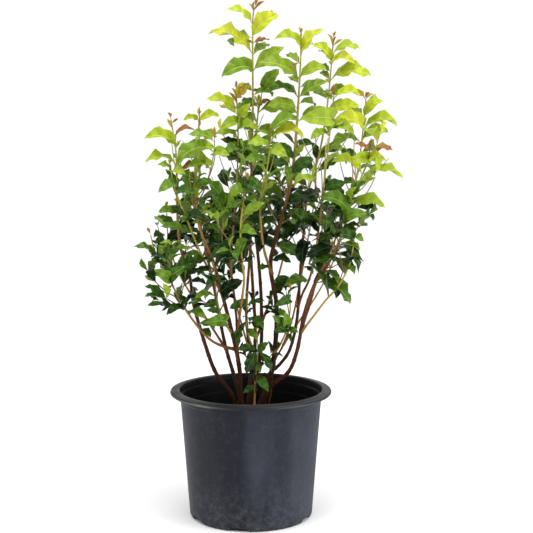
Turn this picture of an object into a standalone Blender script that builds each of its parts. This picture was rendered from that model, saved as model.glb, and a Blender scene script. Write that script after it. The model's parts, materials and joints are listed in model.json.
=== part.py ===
"""Potted orange tea olive: a bushy evergreen shrub of many stems in a plain nursery pot.

Metres, +Z up. The origin is on the pot's axis, on its flat underside. The photograph looks
along +Y, so the front of the plant is towards -Y.

Each shoot is one curved line. Its lower part is a bare stem or bough, and its upper part is
the leader of a mass of foliage, which twigs and leaves grow from by one seeded rule.
"""
import math
import random
from dataclasses import dataclass

import bmesh
import bpy
from mathutils import Matrix, Quaternion, Vector
from mathutils.bvhtree import BVHTree
from mathutils.kdtree import KDTree

MM = 0.001
UP = Vector((0.0, 0.0, 1.0))
GAP = 0.3 * MM

# Pot
POT_HEIGHT = 223 * MM
RIM_RADIUS = 140 * MM
BODY_TOP_RADIUS = 123.3 * MM
BASE_RADIUS = 107 * MM
WALL = 2.4 * MM
FOOT_CHAMFER = 3 * MM
LIP_DROP = 6 * MM
LIP_THICKNESS = 2.4 * MM
COLLAR_HEIGHT = 16 * MM
COLLAR_STEP = 2.6 * MM
LEDGE_DROPS = (12 * MM, 30 * MM)
LEDGE_DEPTHS = (COLLAR_STEP, 1.2 * MM)
POT_SIDES = 40

# Drain notches in the foot of the pot, where its wall meets its floor
NOTCH_COUNT = 4
NOTCH_FIRST_ANGLE = math.radians(-102)
NOTCH_WIDTH = 32 * MM
NOTCH_HEIGHT = 5 * MM
NOTCH_DEPTH = 12 * MM

# Soil, a plug that fills the pot up to a little below its rim
SOIL_TOP = 168 * MM

# Stems and boughs
CURVE_STEPS = 24
LINE_STEP = 1 * MM
STEM_SIDES = 6
STEM_STEP = 34 * MM
FLARE = 0.35
FLARE_HEIGHT = 9 * MM
SHOOT_TIP_RADIUS = 0.9 * MM
TAPER_POWER = 0.8

# Foliage
TWIG_SIDES = 3
LEADER_STEP = 34 * MM
TWIG_STEP = 26 * MM
TWIG_RADIUS = 1.1 * MM
TWIG_TIP_RADIUS = 0.7 * MM
TWIG_LENGTHS = (50 * MM, 95 * MM)
TWIG_ANGLE = math.radians(52)
TWIG_CHANCE = 0.62
TWIG_RISE = 0.28
TWIG_WANDER = 0.12
TWIG_CEILING = 620 * MM
TWIG_FROM_TIP = 45 * MM
LEAF_LENGTH = 68 * MM
TIP_LEAF_LENGTH = 24 * MM
LEAF_WIDTH_SHARE = 0.42
LEAF_THICKNESS = 1.5 * MM
LEAF_MIDDLE = 0.48
LEAF_RISE = 0.07
LEAF_ARCH = 0.24
LEAF_ROOT = 0.4 * MM
LEAF_DROOPS = (0.0, 0.45)
SHADE_DROOP = 0.5
SHADE_HEIGHTS = (700 * MM, 450 * MM)
LEAF_ROLL = 0.75
LEAF_FOLD = 0.16
LEAF_CHANCE = 0.9
YOUNG_STRETCH = 52 * MM
FIRST_NODE = 3 * MM
NODE_SPACINGS = (11 * MM, 25 * MM)
OPEN_ANGLES = (math.radians(30), math.radians(70))
REACH = 105 * MM

# The crown's outline as the front shows it: height, then how far it reaches left and right
CROWN_OUTLINE = tuple((height * MM, left * MM, right * MM) for height, left, right in (
    (190, 45, 55), (255, 60, 70), (300, 90, 90), (340, 146, 100), (380, 190, 180),
    (425, 176, 196), (470, 212, 196), (505, 172, 198), (550, 160, 226), (590, 158, 264),
    (630, 170, 250), (672, 188, 250), (712, 108, 236), (750, 78, 214), (800, 72, 192),
    (830, 80, 154), (862, 52, 62), (890, 32, 42)))
CROWN_DEPTH_SHARE = 0.94
SHARED_MARGIN = 16 * MM
TEST_CLEARANCE = 0.5 * MM
TEST_START = 0.2
TRIES = 5
SOLID_SPACING = 32 * MM
OUTER_SHARE = 0.86
SEED = 4

# Colours, linear, with roughness
POT_COLOUR = (0.030, 0.036, 0.046)
SOIL_COLOUR = (0.040, 0.026, 0.017)
BARK_LOW_COLOUR = (0.070, 0.034, 0.022)
BARK_HIGH_COLOUR = (0.170, 0.110, 0.055)
LEAF_LOW_COLOUR = (0.022, 0.085, 0.022)
LEAF_HIGH_COLOUR = (0.300, 0.420, 0.045)
LEAF_COLOUR_HEIGHTS = (0.42, 0.84)


@dataclass(frozen=True)
class Shoot:
    """One stem or bough with the mass of foliage at its end, all sizes in millimetres."""

    name: str
    parent: str
    radius: float
    leaves_from: float
    points: tuple
    bare: tuple = (0, 0)
    leaf_scale: float = 1.0


# Each line runs from its foot, in the soil or on its parent's axis, to the tip of its shoot.
SHOOTS = (
    Shoot("stem_left_outer", "", 4.4, 452, (
        (-17, -6, 168), (-33, -14, 214), (-60, -19, 253), (-78, -22, 303), (-97, -24, 372),
        (-104, -25, 424), (-119, -25, 472), (-124, -24, 543), (-125, -19, 625), (-134, -10, 688))),
    Shoot("stem_left_inner", "", 4.8, 462, (
        (-8, -19, 168), (-17, -19, 210), (-19, -22, 255), (-27, -27, 304), (-50, -40, 400),
        (-63, -46, 449), (-83, -51, 500), (-93, -57, 560), (-86, -52, 622), (-84, -46, 674))),
    Shoot("stem_centre", "", 4.0, 470, (
        (3, 1, 168), (9, 5, 236), (18, 7, 297), (18, 10, 376), (13, 10, 449),
        (2, 10, 549), (2, 8, 617), (4, 6, 702), (4, 4, 845), (8, 0, 874)), bare=(706, 768)),
    Shoot("stem_right_inner", "", 5.4, 492, (
        (18, -2, 168), (23, -5, 204), (34, -9, 244), (42, -14, 301), (44, -20, 370),
        (34, -23, 432), (39, -25, 474), (65, -26, 568), (75, -26, 643), (83, -23, 769),
        (84, -20, 826)), bare=(700, 735)),
    Shoot("stem_right", "", 3.6, 470, (
        (13, 14, 168), (17, 14, 200), (27, 14, 238), (51, 18, 261), (69, 22, 288),
        (81, 27, 341), (86, 31, 416), (91, 32, 478), (99, 33, 556), (120, 33, 633),
        (133, 32, 719), (142, 30, 824))),
    Shoot("stem_right_outer", "", 4.5, 440, (
        (8, -13, 168), (15, -16, 198), (36, -21, 232), (64, -28, 256), (79, -35, 296),
        (90, -40, 357), (107, -45, 409), (126, -48, 437), (151, -51, 491), (169, -52, 553),
        (192, -51, 611), (200, -50, 646))),
    Shoot("stem_middle", "", 3.5, 446, (
        (-7, 6, 168), (-3, 20, 224), (1, 30, 260), (-8, 40, 344), (-1, 42, 459),
        (4, 42, 560), (9, 40, 664), (20, 32, 733))),
    Shoot("stem_back_left", "", 4.0, 432, (
        (-15, 19, 168), (-25, 32, 220), (-46, 54, 290), (-62, 76, 370), (-76, 92, 434),
        (-92, 104, 510), (-98, 106, 590), (-90, 96, 694))),
    Shoot("stem_back", "", 4.2, 444, (
        (1, 23, 168), (4, 38, 230), (8, 66, 310), (4, 92, 380), (0, 112, 446),
        (-4, 126, 520), (8, 132, 600), (14, 122, 716))),
    Shoot("stem_thin_right", "", 2.3, 424, (
        (26, 25, 168), (34, 31, 200), (40, 37, 256), (57, 43, 290), (74, 54, 337),
        (88, 72, 400), (102, 92, 470), (116, 104, 560), (116, 100, 656))),
    Shoot("stem_low_front", "", 1.9, 214, (
        (5, -29, 168), (6, -33, 204), (8, -38, 250), (12, -42, 296), (10, -46, 330)),
        leaf_scale=0.66),
    Shoot("bough_left_upright", "stem_left_inner", 2.6, 456, (
        (-25, -26, 294), (-24, -20, 340), (-29, -17, 392), (-34, -17, 450), (-27, -14, 530),
        (-21, -8, 640), (-24, 10, 738)), bare=(660, 690)),
    Shoot("bough_front", "stem_left_inner", 2.8, 430, (
        (-22, -24, 275), (-23, -38, 318), (-18, -54, 364), (-11, -72, 421), (-15, -92, 462),
        (-16, -106, 520), (-6, -110, 590))),
    Shoot("bough_left_low", "stem_left_inner", 2.7, 350, (
        (-26, -26, 296), (-45, -33, 302), (-69, -42, 316), (-94, -51, 346), (-116, -60, 382),
        (-136, -67, 424), (-156, -70, 462), (-166, -68, 498))),
    Shoot("bough_left_side", "stem_left_inner", 2.4, 474, (
        (-47, -38, 390), (-60, -44, 416), (-74, -52, 444), (-88, -60, 476), (-106, -68, 524),
        (-124, -72, 572), (-132, -70, 612))),
    Shoot("bough_middle_front", "stem_right_inner", 2.6, 500, (
        (36, -23, 425), (24, -36, 462), (18, -48, 500), (16, -62, 556), (28, -70, 612),
        (34, -68, 668))),
    Shoot("bough_right_fork", "stem_right", 2.4, 446, (
        (82, 28, 360), (90, 16, 386), (101, -4, 415), (110, -26, 462), (118, -44, 540),
        (128, -54, 636), (138, -58, 734))),
    Shoot("bough_right_side", "stem_right_outer", 2.5, 470, (
        (87, -38, 336), (100, -26, 372), (114, -8, 414), (136, 8, 458), (158, 20, 510),
        (179, 30, 568), (190, 36, 630), (199, 38, 722))),
    Shoot("bough_right_low", "stem_right_outer", 2.2, 378, (
        (85, -37, 326), (102, -50, 352), (124, -62, 384), (146, -72, 412), (164, -78, 450),
        (172, -78, 500))),
    Shoot("bough_low_left", "stem_left_inner", 2.0, 352, (
        (-33, -31, 326), (-42, -44, 342), (-52, -54, 366), (-58, -62, 400), (-60, -64, 436)),
        leaf_scale=0.85),
    Shoot("bough_low_middle", "stem_centre", 2.0, 318, (
        (13, 6, 258), (7, -8, 286), (-3, -22, 316), (-8, -32, 350), (-6, -38, 392)),
        leaf_scale=0.8),
    Shoot("bough_low_right", "stem_right_inner", 2.0, 316, (
        (40, -13, 286), (50, -27, 304), (60, -39, 330), (66, -46, 362), (66, -50, 402)),
        leaf_scale=0.85),
    Shoot("bough_back_right", "stem_back", 2.6, 424, (
        (7, 59, 292), (28, 80, 346), (50, 104, 406), (64, 122, 462), (70, 134, 530),
        (66, 134, 612))),
    Shoot("bough_back_left_low", "stem_back_left", 2.5, 392, (
        (-42, 50, 278), (-72, 70, 322), (-102, 86, 366), (-128, 96, 410), (-146, 98, 462),
        (-150, 92, 530))),
    Shoot("bough_back_low", "stem_back", 2.3, 372, (
        (5, 45, 254), (-10, 72, 300), (-24, 100, 346), (-34, 122, 392), (-42, 140, 450),
        (-42, 146, 500))),
    Shoot("bough_back_right_low", "stem_thin_right", 2.0, 384, (
        (57, 43, 290), (86, 60, 330), (116, 74, 372), (140, 82, 416), (158, 84, 470),
        (166, 80, 540))),
)


# Curved lines

def smooth_line(points):
    """Evenly spaced points on the smooth curve through the given points."""
    knots = [Vector(point) * MM for point in points]
    knots = [knots[0] * 2 - knots[1]] + knots + [knots[-1] * 2 - knots[-2]]
    fine = []
    for a, b, c, d in zip(knots, knots[1:], knots[2:], knots[3:]):
        for i in range(CURVE_STEPS):
            t = i / CURVE_STEPS
            fine.append(0.5 * (b * 2 + (c - a) * t + (a * 2 - b * 5 + c * 4 - d) * t * t
                               + (b * 3 - a - c * 3 + d) * t * t * t))
    fine.append(knots[-2])
    lengths = [0.0]
    for a, b in zip(fine, fine[1:]):
        lengths.append(lengths[-1] + (b - a).length)
    count = round(lengths[-1] / LINE_STEP)
    line = []
    at = 0
    for i in range(count + 1):
        wanted = lengths[-1] * i / count
        while at < len(fine) - 2 and lengths[at + 1] < wanted:
            at += 1
        share = (wanted - lengths[at]) / max(lengths[at + 1] - lengths[at], 1e-9)
        line.append(fine[at].lerp(fine[at + 1], min(max(share, 0.0), 1.0)))
    return line


class Line:
    """A shoot's centre line, measured by the distance from its foot."""

    def __init__(self, shoot):
        self.flared = not shoot.parent
        lift = UP * GAP if self.flared else Vector()
        self.points = [point + lift for point in smooth_line(shoot.points)]
        self.length = sum((b - a).length for a, b in zip(self.points, self.points[1:]))
        self.step = self.length / (len(self.points) - 1)
        self.foot_radius = shoot.radius * MM

    def at(self, distance):
        """The point at a distance from the foot."""
        place = min(max(distance / self.step, 0.0), len(self.points) - 1.001)
        index = int(place)
        return self.points[index].lerp(self.points[index + 1], place - index)

    def along(self, distance):
        """The direction at a distance from the foot."""
        return (self.at(distance + 3 * MM) - self.at(distance - 3 * MM)).normalized()

    def radius(self, distance):
        """The radius at a distance from the foot: a taper, and a flare where it leaves soil."""
        left = 1 - min(max(distance / self.length, 0.0), 1.0)
        radius = SHOOT_TIP_RADIUS + (self.foot_radius - SHOOT_TIP_RADIUS) * left ** TAPER_POWER
        if self.flared:
            radius *= 1 + FLARE * math.exp(-distance / FLARE_HEIGHT)
        return radius

    def distance_at_height(self, height):
        """The distance from the foot at which the line first reaches a height."""
        for index, point in enumerate(self.points):
            if point.z >= height:
                return index * self.step
        return self.length


def ring(centre, direction, radius, sides, across=None):
    """The corners of one ring of a limb, square to its direction."""
    across = across or Vector((1, 0, 0))
    side = direction.cross(across).normalized()
    other = side.cross(direction).normalized()
    corners = []
    for i in range(sides):
        turn = math.tau * i / sides
        corners.append(centre + radius * (math.cos(turn) * other + math.sin(turn) * side))
    return corners


def tube(rings):
    """Points and faces of a closed limb through its rings."""
    sides = len(rings[0])
    points = [corner for one in rings for corner in one]
    faces = [tuple(range(sides))[::-1]]
    for level in range(len(rings) - 1):
        low = level * sides
        for i in range(sides):
            j = (i + 1) % sides
            faces.append((low + i, low + j, low + sides + j, low + sides + i))
    top = (len(rings) - 1) * sides
    faces.append(tuple(top + i for i in range(sides)))
    return points, faces


# Objects

def new_object(name, points, faces):
    """A mesh object with outward faces, three-cornered where a face isn't flat."""
    mesh = bpy.data.meshes.new(name)
    mesh.from_pydata([tuple(point) for point in points], [], faces)
    shape = bmesh.new()
    shape.from_mesh(mesh)
    bmesh.ops.recalc_face_normals(shape, faces=shape.faces)
    bmesh.ops.triangulate(shape, faces=[face for face in shape.faces if len(face.verts) == 4])
    shape.to_mesh(mesh)
    shape.free()
    thing = bpy.data.objects.new(name, mesh)
    bpy.context.scene.collection.objects.link(thing)
    return thing


def paint(thing, colour, roughness):
    """Give an object its own plain material."""
    material = bpy.data.materials.new(thing.name)
    material.use_nodes = True
    shader = material.node_tree.nodes["Principled BSDF"]
    shader.inputs["Base Color"].default_value = (*colour, 1.0)
    shader.inputs["Roughness"].default_value = roughness
    shader.inputs["Metallic"].default_value = 0.0
    material.diffuse_color = (*colour, 1.0)
    thing.data.materials.clear()
    thing.data.materials.append(material)


def mixed(low, high, share):
    """A colour between two, by a share from 0 to 1."""
    share = min(max(share, 0.0), 1.0)
    return tuple(a + (b - a) * share for a, b in zip(low, high))


def turned(name, outline, sides):
    """A body turned about the Z axis. The outline starts and ends on the axis."""
    points = [(0.0, 0.0, outline[0][1])]
    for radius, height in outline[1:-1]:
        for i in range(sides):
            turn = math.tau * (i + 0.5) / sides
            points.append((radius * math.cos(turn), radius * math.sin(turn), height))
    points.append((0.0, 0.0, outline[-1][1]))
    last = len(points) - 1
    faces = []
    for i in range(sides):
        j = (i + 1) % sides
        faces.append((0, 1 + j, 1 + i))
        faces.append((last, last - sides + i, last - sides + j))
        for level in range(len(outline) - 3):
            low = 1 + level * sides
            faces.append((low + i, low + j, low + sides + j, low + sides + i))
    return new_object(name, points, faces)


# Pot and soil

def wall_radius(height):
    """The radius of the pot's outer wall at a height."""
    return BASE_RADIUS + (BODY_TOP_RADIUS - BASE_RADIUS) * height / POT_HEIGHT


def inner_outline():
    """The pot's inner side, from its lip down to its floor, with the stacking ledges."""
    outline = [(wall_radius(POT_HEIGHT) + COLLAR_STEP - WALL, POT_HEIGHT - 1 * MM)]
    inset = WALL - COLLAR_STEP
    for drop, depth in zip(LEDGE_DROPS, LEDGE_DEPTHS):
        height = POT_HEIGHT - drop
        outline.append((wall_radius(height) - inset, height))
        inset += depth
        outline.append((wall_radius(height) - inset, height - 2 * MM))
    outline.append((wall_radius(WALL) - inset, WALL + 4 * MM))
    outline.append((wall_radius(WALL) - inset - 4 * MM, WALL))
    return outline


def build_pot():
    """The pot: tapered wall, collar under a wide rolled lip, ledges inside, drain notches."""
    collar_low = POT_HEIGHT - COLLAR_HEIGHT
    collar = wall_radius(POT_HEIGHT) + COLLAR_STEP
    inner = inner_outline()
    outline = [(0.0, 0.0), (BASE_RADIUS - FOOT_CHAMFER, 0.0), (BASE_RADIUS, FOOT_CHAMFER)]
    outline += [(wall_radius(collar_low - 3 * MM), collar_low - 3 * MM), (collar, collar_low)]
    outline += [(collar, POT_HEIGHT - 4.5 * MM)]
    outline += [(RIM_RADIUS - LIP_THICKNESS, POT_HEIGHT - LIP_DROP)]
    outline += [(RIM_RADIUS - LIP_THICKNESS * 0.4, POT_HEIGHT - LIP_DROP - 1.5 * MM)]
    outline += [(RIM_RADIUS, POT_HEIGHT - LIP_DROP), (RIM_RADIUS - 1.5 * MM, POT_HEIGHT - 2.4 * MM)]
    outline += [(inner[0][0] + 3 * MM, POT_HEIGHT)]
    outline += inner + [(0.0, WALL)]
    pot = turned("pot", outline, POT_SIDES)
    cutters = bpy.data.collections.new("notch_cutters")
    bpy.context.scene.collection.children.link(cutters)
    for i in range(NOTCH_COUNT):
        angle = NOTCH_FIRST_ANGLE + math.tau * i / NOTCH_COUNT
        shape = bmesh.new()
        bmesh.ops.create_cube(shape, size=1.0)
        scale = Matrix.Diagonal((NOTCH_DEPTH, NOTCH_WIDTH, NOTCH_HEIGHT * 2, 1.0))
        place = Matrix.Rotation(angle, 4, "Z") @ Matrix.Translation((BASE_RADIUS - 2 * MM, 0, 0))
        bmesh.ops.transform(shape, matrix=place @ scale, verts=shape.verts)
        mesh = bpy.data.meshes.new("notch_cutter")
        shape.to_mesh(mesh)
        shape.free()
        cutters.objects.link(bpy.data.objects.new("notch_cutter", mesh))
    join(pot, cutters, "DIFFERENCE")
    pot.data.shade_smooth()
    pot.data.set_sharp_from_angle(angle=math.radians(30))
    paint(pot, POT_COLOUR, 0.55)


def build_soil():
    """The soil: a plug inside the pot, flat on top, a hair clear of the wall all round."""
    outline = [(0.0, WALL + GAP)]
    inner = [point for point in inner_outline()[::-1] if point[1] < SOIL_TOP]
    outline += [(radius - 1.6 * GAP, height + GAP) for radius, height in inner]
    slope_radius = inner[-1][0] + (wall_radius(SOIL_TOP) - wall_radius(inner[-1][1]))
    outline += [(slope_radius - 1.6 * GAP, SOIL_TOP), (0.0, SOIL_TOP)]
    paint(turned("soil", outline, POT_SIDES), SOIL_COLOUR, 0.95)


def join(thing, group, operation):
    """Apply one Boolean with a whole collection, and say whether the result is closed."""
    boolean = thing.modifiers.new("join", "BOOLEAN")
    boolean.operation = operation
    boolean.operand_type = "COLLECTION"
    boolean.collection = group
    for solver in ("EXACT", "MANIFOLD"):
        boolean.solver = solver
        seen = thing.evaluated_get(bpy.context.evaluated_depsgraph_get())
        mesh = bpy.data.meshes.new_from_object(seen)
        keep_largest(mesh)
        closed = is_closed(mesh)
        if closed:
            break
    thing.modifiers.clear()
    thing.data = mesh
    for tool in list(group.objects):
        bpy.data.objects.remove(tool)
    bpy.data.collections.remove(group)
    return closed


# Stems and boughs

def limb_ring(line, distance):
    """One ring of a stem or bough. The foot of a stem is cut level with the soil."""
    direction = UP if line.flared and distance <= 0 else line.along(distance)
    return ring(line.at(distance), direction, line.radius(distance), STEM_SIDES)


def clear_start(line, parent_tree):
    """How far along its line a bough starts, a hair clear of the surface of its parent."""
    distance = 0.0
    while not all(is_clear(parent_tree, corner) for corner in limb_ring(line, distance)):
        distance += GAP / 2
    return distance


def is_clear(tree, point):
    """Whether a point is outside a closed surface, and a hair clear of it."""
    near, normal, _, distance = tree.find_nearest(point)
    return (point - near).dot(normal) > 0 and distance >= GAP


def tree_of(points, faces):
    """A search tree of one solid, for its overlaps with others."""
    return BVHTree.FromPolygons([tuple(point) for point in points], faces)


def build_limbs(lines):
    """Make every stem and bough. Returns their search trees by name."""
    trees = {}
    for shoot in SHOOTS:
        line = lines[shoot.name]
        start = 0.0
        if shoot.parent:
            start = clear_start(line, trees[shoot.parent])
        end = line.distance_at_height(shoot.leaves_from * MM)
        count = max(3, round((end - start) / STEM_STEP))
        stops = [start + (end - start) * i / count for i in range(count + 1)]
        if line.flared:
            stops.insert(1, start + FLARE_HEIGHT)
        points, faces = tube([limb_ring(line, stop) for stop in stops])
        limb = new_object(shoot.name, points, faces)
        limb.data.shade_smooth()
        limb.data.set_sharp_from_angle(angle=math.radians(50))
        share = (shoot.points[0][2] * MM - SOIL_TOP) / (SOIL_TOP * 1.5)
        paint(limb, mixed(BARK_LOW_COLOUR, BARK_HIGH_COLOUR, share), 0.7)
        tree_points = [vertex.co.copy() for vertex in limb.data.vertices]
        trees[shoot.name] = tree_of(tree_points, [tuple(p.vertices) for p in limb.data.polygons])
    return trees


# The rule that foliage grows by

@dataclass
class Leaf:
    """One leaf: where it grows from, which way, and how large."""

    base: Vector
    along: Vector
    normal: Vector
    length: float
    is_leading: bool
    twig: int

    def middle(self):
        """The middle of the leaf."""
        return self.base + self.along * (self.length * 0.5)

    def is_outer(self):
        """Whether the leaf's tip helps to draw the crown's outline."""
        return outline_share(self.base + self.along * self.length) > OUTER_SHARE

    def solid(self, start=0.0, swell=0.0):
        """Points and faces of the leaf as eight faces, folded along its rib and arched."""
        side = self.along.cross(self.normal).normalized()
        half_width = self.length * LEAF_WIDTH_SHARE / 2 + swell
        half_thickness = LEAF_THICKNESS / 2 + swell
        root = self.base + self.along * (self.length * start)
        middle = self.base + self.along * (self.length * LEAF_MIDDLE)
        middle += self.normal * (self.length * LEAF_RISE)
        tip = self.base + self.along * (self.length + swell) - self.normal * (
            self.length * LEAF_ARCH)
        raised = self.normal * (half_width * LEAF_FOLD * 2)
        points = [root, middle + side * half_width + raised, middle - side * half_width + raised,
                  tip, middle + self.normal * half_thickness, middle - self.normal * half_thickness]
        faces = [(0, 1, 4), (0, 4, 2), (3, 4, 1), (3, 2, 4),
                 (0, 5, 1), (0, 2, 5), (3, 1, 5), (3, 5, 2)]
        return points, faces


def around(direction, turn):
    """The sideways direction at an angle round a stem, measured from +X."""
    side = direction.cross(Vector((0, 1, 0))).normalized()
    other = direction.cross(side).normalized()
    return side * math.cos(turn) + other * math.sin(turn)


def blend(share, low, high):
    """A value between two, by a share from 0 to 1, eased at both ends."""
    share = min(max(share, 0.0), 1.0)
    share = share * share * (3 - 2 * share)
    return low + (high - low) * share


def outline_share(point):
    """How far out a point is in the crown's outline, an uneven oval at each height: 1 is on it."""
    for low, high in zip(CROWN_OUTLINE, CROWN_OUTLINE[1:]):
        if low[0] <= point.z <= high[0]:
            share = (point.z - low[0]) / (high[0] - low[0])
            left, right = (a + (b - a) * share for a, b in zip(low[1:], high[1:]))
            depth = CROWN_DEPTH_SHARE * (left + right) / 2
            width = left if point.x < 0 else right
            return math.hypot(point.x / width, point.y / depth)
    return 2.0


class Crown:
    """All the foliage, with the room that is already taken."""

    def __init__(self, lines, limb_trees):
        self.lines = lines
        self.taken = [("limbs", tree) for tree in limb_trees.values()]
        samples = []
        for shoot in SHOOTS:
            line = lines[shoot.name]
            enter = line.distance_at_height(shoot.leaves_from * MM)
            count = int((line.length - enter) / (8 * MM))
            for i in range(count + 1):
                samples.append((line.at(enter + (line.length - enter) * i / count), shoot.name))
        self.finder = KDTree(len(samples))
        for index, (point, _) in enumerate(samples):
            self.finder.insert(point, index)
        self.finder.balance()
        self.samples = samples

    def in_own_space(self, point, name):
        """Whether a point is near enough to its own leader, compared with all others."""
        own = None
        first = None
        for _, index, distance in self.finder.find_n(point, 60):
            if first is None:
                first = distance
            if self.samples[index][1] == name:
                own = distance
                break
        return own is not None and own <= first + SHARED_MARGIN and own <= REACH

    def is_free(self, solid, short_solid, name):
        """Whether a solid touches no limb and no other mass, nor, past its root, its own."""
        tree = tree_of(*solid)
        short_tree = tree_of(*short_solid)
        for owner, other in self.taken:
            if (short_tree if owner == name else tree).overlap(other):
                return False
        return True


@dataclass
class Mass:
    """One mass of foliage: its twigs as lists of points with radii, and its leaves."""

    shoot: Shoot
    twigs: list
    leaves: list


def nodes_down(length, stretch=YOUNG_STRETCH):
    """Distances from a shoot's tip at which its leaf pairs stand, closer at the young end."""
    distance = FIRST_NODE
    nodes = []
    while distance < length - 6 * MM:
        nodes.append(distance)
        distance += blend(distance / stretch, *NODE_SPACINGS)
    return nodes


def grow_twig(crown, mass, base, direction, length, dice):
    """A side twig that curves up towards the light, or nothing where it has no room."""
    points = [base]
    heading = direction.copy()
    count = max(2, round(length / TWIG_STEP))
    for _ in range(count):
        wander = [dice.uniform(-TWIG_WANDER, TWIG_WANDER) for _ in range(2)]
        heading = (heading + UP * TWIG_RISE + Vector((*wander, 0))).normalized()
        points.append(points[-1] + heading * (length / count))
    radii = [TWIG_RADIUS + (TWIG_TIP_RADIUS - TWIG_RADIUS) * i / count for i in range(count + 1)]
    name = mass.shoot.name
    if not crown.in_own_space(points[-1], name) or outline_share(points[-1]) > 1:
        return None
    swollen = [radius + TEST_CLEARANCE for radius in radii]
    if crown.is_free(twig_solid(points, swollen), twig_solid(points[1:], swollen[1:]), name):
        return points, radii
    return None


def twig_solid(points, radii):
    """Points and faces of a three-sided twig."""
    rings = []
    for index, (point, radius) in enumerate(zip(points, radii)):
        before = points[max(index - 1, 0)]
        after = points[min(index + 1, len(points) - 1)]
        rings.append(ring(point, (after - before).normalized(), radius, TWIG_SIDES))
    return tube(rings)


def place_leaf(crown, mass, twig, base, direction, turn, from_tip, dice):
    """One leaf at a node, or nothing where every try leaves its space or touches something."""
    age = min(from_tip / YOUNG_STRETCH, 1.0)
    for attempt in range(TRIES):
        swing = dice.uniform(-0.3, 0.3) * (1 + attempt * 0.6)
        angle = blend(age, *OPEN_ANGLES) + dice.uniform(-0.2, 0.2) * (1 + attempt * 0.4)
        out = around(direction, turn + swing)
        along = direction * math.cos(angle) + out * math.sin(angle)
        shade = (base.z - SHADE_HEIGHTS[0]) / (SHADE_HEIGHTS[1] - SHADE_HEIGHTS[0])
        droop = dice.uniform(*LEAF_DROOPS) + blend(shade, 0.0, SHADE_DROOP)
        along = (along - UP * droop * age).normalized()
        normal = direction - along * direction.dot(along)
        normal = (normal.normalized() + UP * 0.4).normalized()
        normal = (normal - along * normal.dot(along)).normalized()
        normal.rotate(Quaternion(along, dice.uniform(-LEAF_ROLL, LEAF_ROLL)))
        size = blend(age, TIP_LEAF_LENGTH, LEAF_LENGTH) * dice.uniform(0.84, 1.12)
        size *= mass.shoot.leaf_scale * (1 - 0.12 * attempt)
        is_leading = twig == 0 and from_tip < NODE_SPACINGS[0]
        leaf = Leaf(base - along * LEAF_ROOT, along, normal, size, is_leading, twig)
        tip = leaf.base + along * size
        if not crown.in_own_space(leaf.base.lerp(tip, 0.55), mass.shoot.name):
            continue
        if not leaf.is_leading and outline_share(tip) > 1:
            continue
        tests = leaf.solid(0.0, TEST_CLEARANCE), leaf.solid(TEST_START, TEST_CLEARANCE)
        if crown.is_free(*tests, mass.shoot.name):
            return leaf
    return None


def leader_of(shoot, line):
    """The leader's points and radii, from a hair above the bough's end to the shoot's tip."""
    start = line.distance_at_height(shoot.leaves_from * MM) + GAP
    count = max(2, round((line.length - start) / LEADER_STEP))
    stops = [start + (line.length - start) * i / count for i in range(count + 1)]
    return [line.at(stop) for stop in stops], [line.radius(stop) for stop in stops]


def grow_masses(lines, limb_trees):
    """Grow every mass: all leaders, then all side twigs, then the leaves mass by mass."""
    crown = Crown(lines, limb_trees)
    masses = []
    for shoot in SHOOTS:
        mass = Mass(shoot, [leader_of(shoot, lines[shoot.name])], [])
        masses.append(mass)
        crown.taken.append((shoot.name, tree_of(*twig_solid(*mass.twigs[0]))))
    for index, mass in enumerate(masses):
        grow_side_twigs(crown, mass, random.Random(SEED + index))
    for index, mass in enumerate(masses):
        grow_leaves(crown, mass, random.Random(SEED * 3 + index))
    return masses


def grow_side_twigs(crown, mass, dice):
    """Side twigs from the axils of the older leaves of a leader."""
    points, radii = mass.twigs[0]
    line = crown.lines[mass.shoot.name]
    start = line.length - sum((b - a).length for a, b in zip(points, points[1:]))
    for number, from_tip in enumerate(nodes_down(line.length - start)):
        distance = line.length - from_tip
        for side in range(2):
            chance = dice.random()
            length = dice.uniform(*TWIG_LENGTHS) * mass.shoot.leaf_scale
            length *= blend(from_tip / YOUNG_STRETCH, 0.5, 1.0)
            turn = dice.uniform(-0.4, 0.4) + math.pi * side + math.pi / 2 * (number % 2)
            if from_tip < TWIG_FROM_TIP or chance > TWIG_CHANCE:
                continue
            if line.at(distance).z > TWIG_CEILING:
                continue
            heading = line.along(distance)
            out = around(heading, turn)
            direction = heading * math.cos(TWIG_ANGLE) + out * math.sin(TWIG_ANGLE)
            twig = grow_twig(crown, mass, line.at(distance), direction, length, dice)
            if twig:
                mass.twigs.append(twig)
                crown.taken.append((mass.shoot.name, tree_of(*twig_solid(*twig))))


def is_bare(shoot, point):
    """Whether a point of a leader lies in the stretch that has shed its leaves."""
    return shoot.bare[0] * MM < point.z < shoot.bare[1] * MM


def grow_leaves(crown, mass, dice):
    """Opposite pairs of leaves along a leader and its twigs, each pair across the last."""
    for twig_number, (points, radii) in enumerate(mass.twigs):
        lengths = [(b - a).length for a, b in zip(points, points[1:])]
        length = sum(lengths)
        for number, from_tip in enumerate(nodes_down(length)):
            base, direction = point_from_tip(points, lengths, from_tip)
            if twig_number == 0 and is_bare(mass.shoot, base):
                continue
            for side in range(2):
                turn = math.pi * side + math.pi / 2 * (number % 2) + twig_number * 0.7
                if dice.random() > LEAF_CHANCE and from_tip > 30 * MM:
                    continue
                leaf = place_leaf(crown, mass, twig_number, base, direction, turn, from_tip,
                                  dice)
                if leaf:
                    mass.leaves.append(leaf)
                    crown.taken.append((mass.shoot.name, tree_of(*leaf.solid())))


def point_from_tip(points, lengths, from_tip):
    """The point and direction of a twig at a distance back from its tip."""
    left = from_tip
    for index in range(len(lengths) - 1, -1, -1):
        if left <= lengths[index] or index == 0:
            heading = (points[index + 1] - points[index]).normalized()
            return points[index + 1] - heading * left, heading
        left -= lengths[index]
    return points[0], UP


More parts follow.
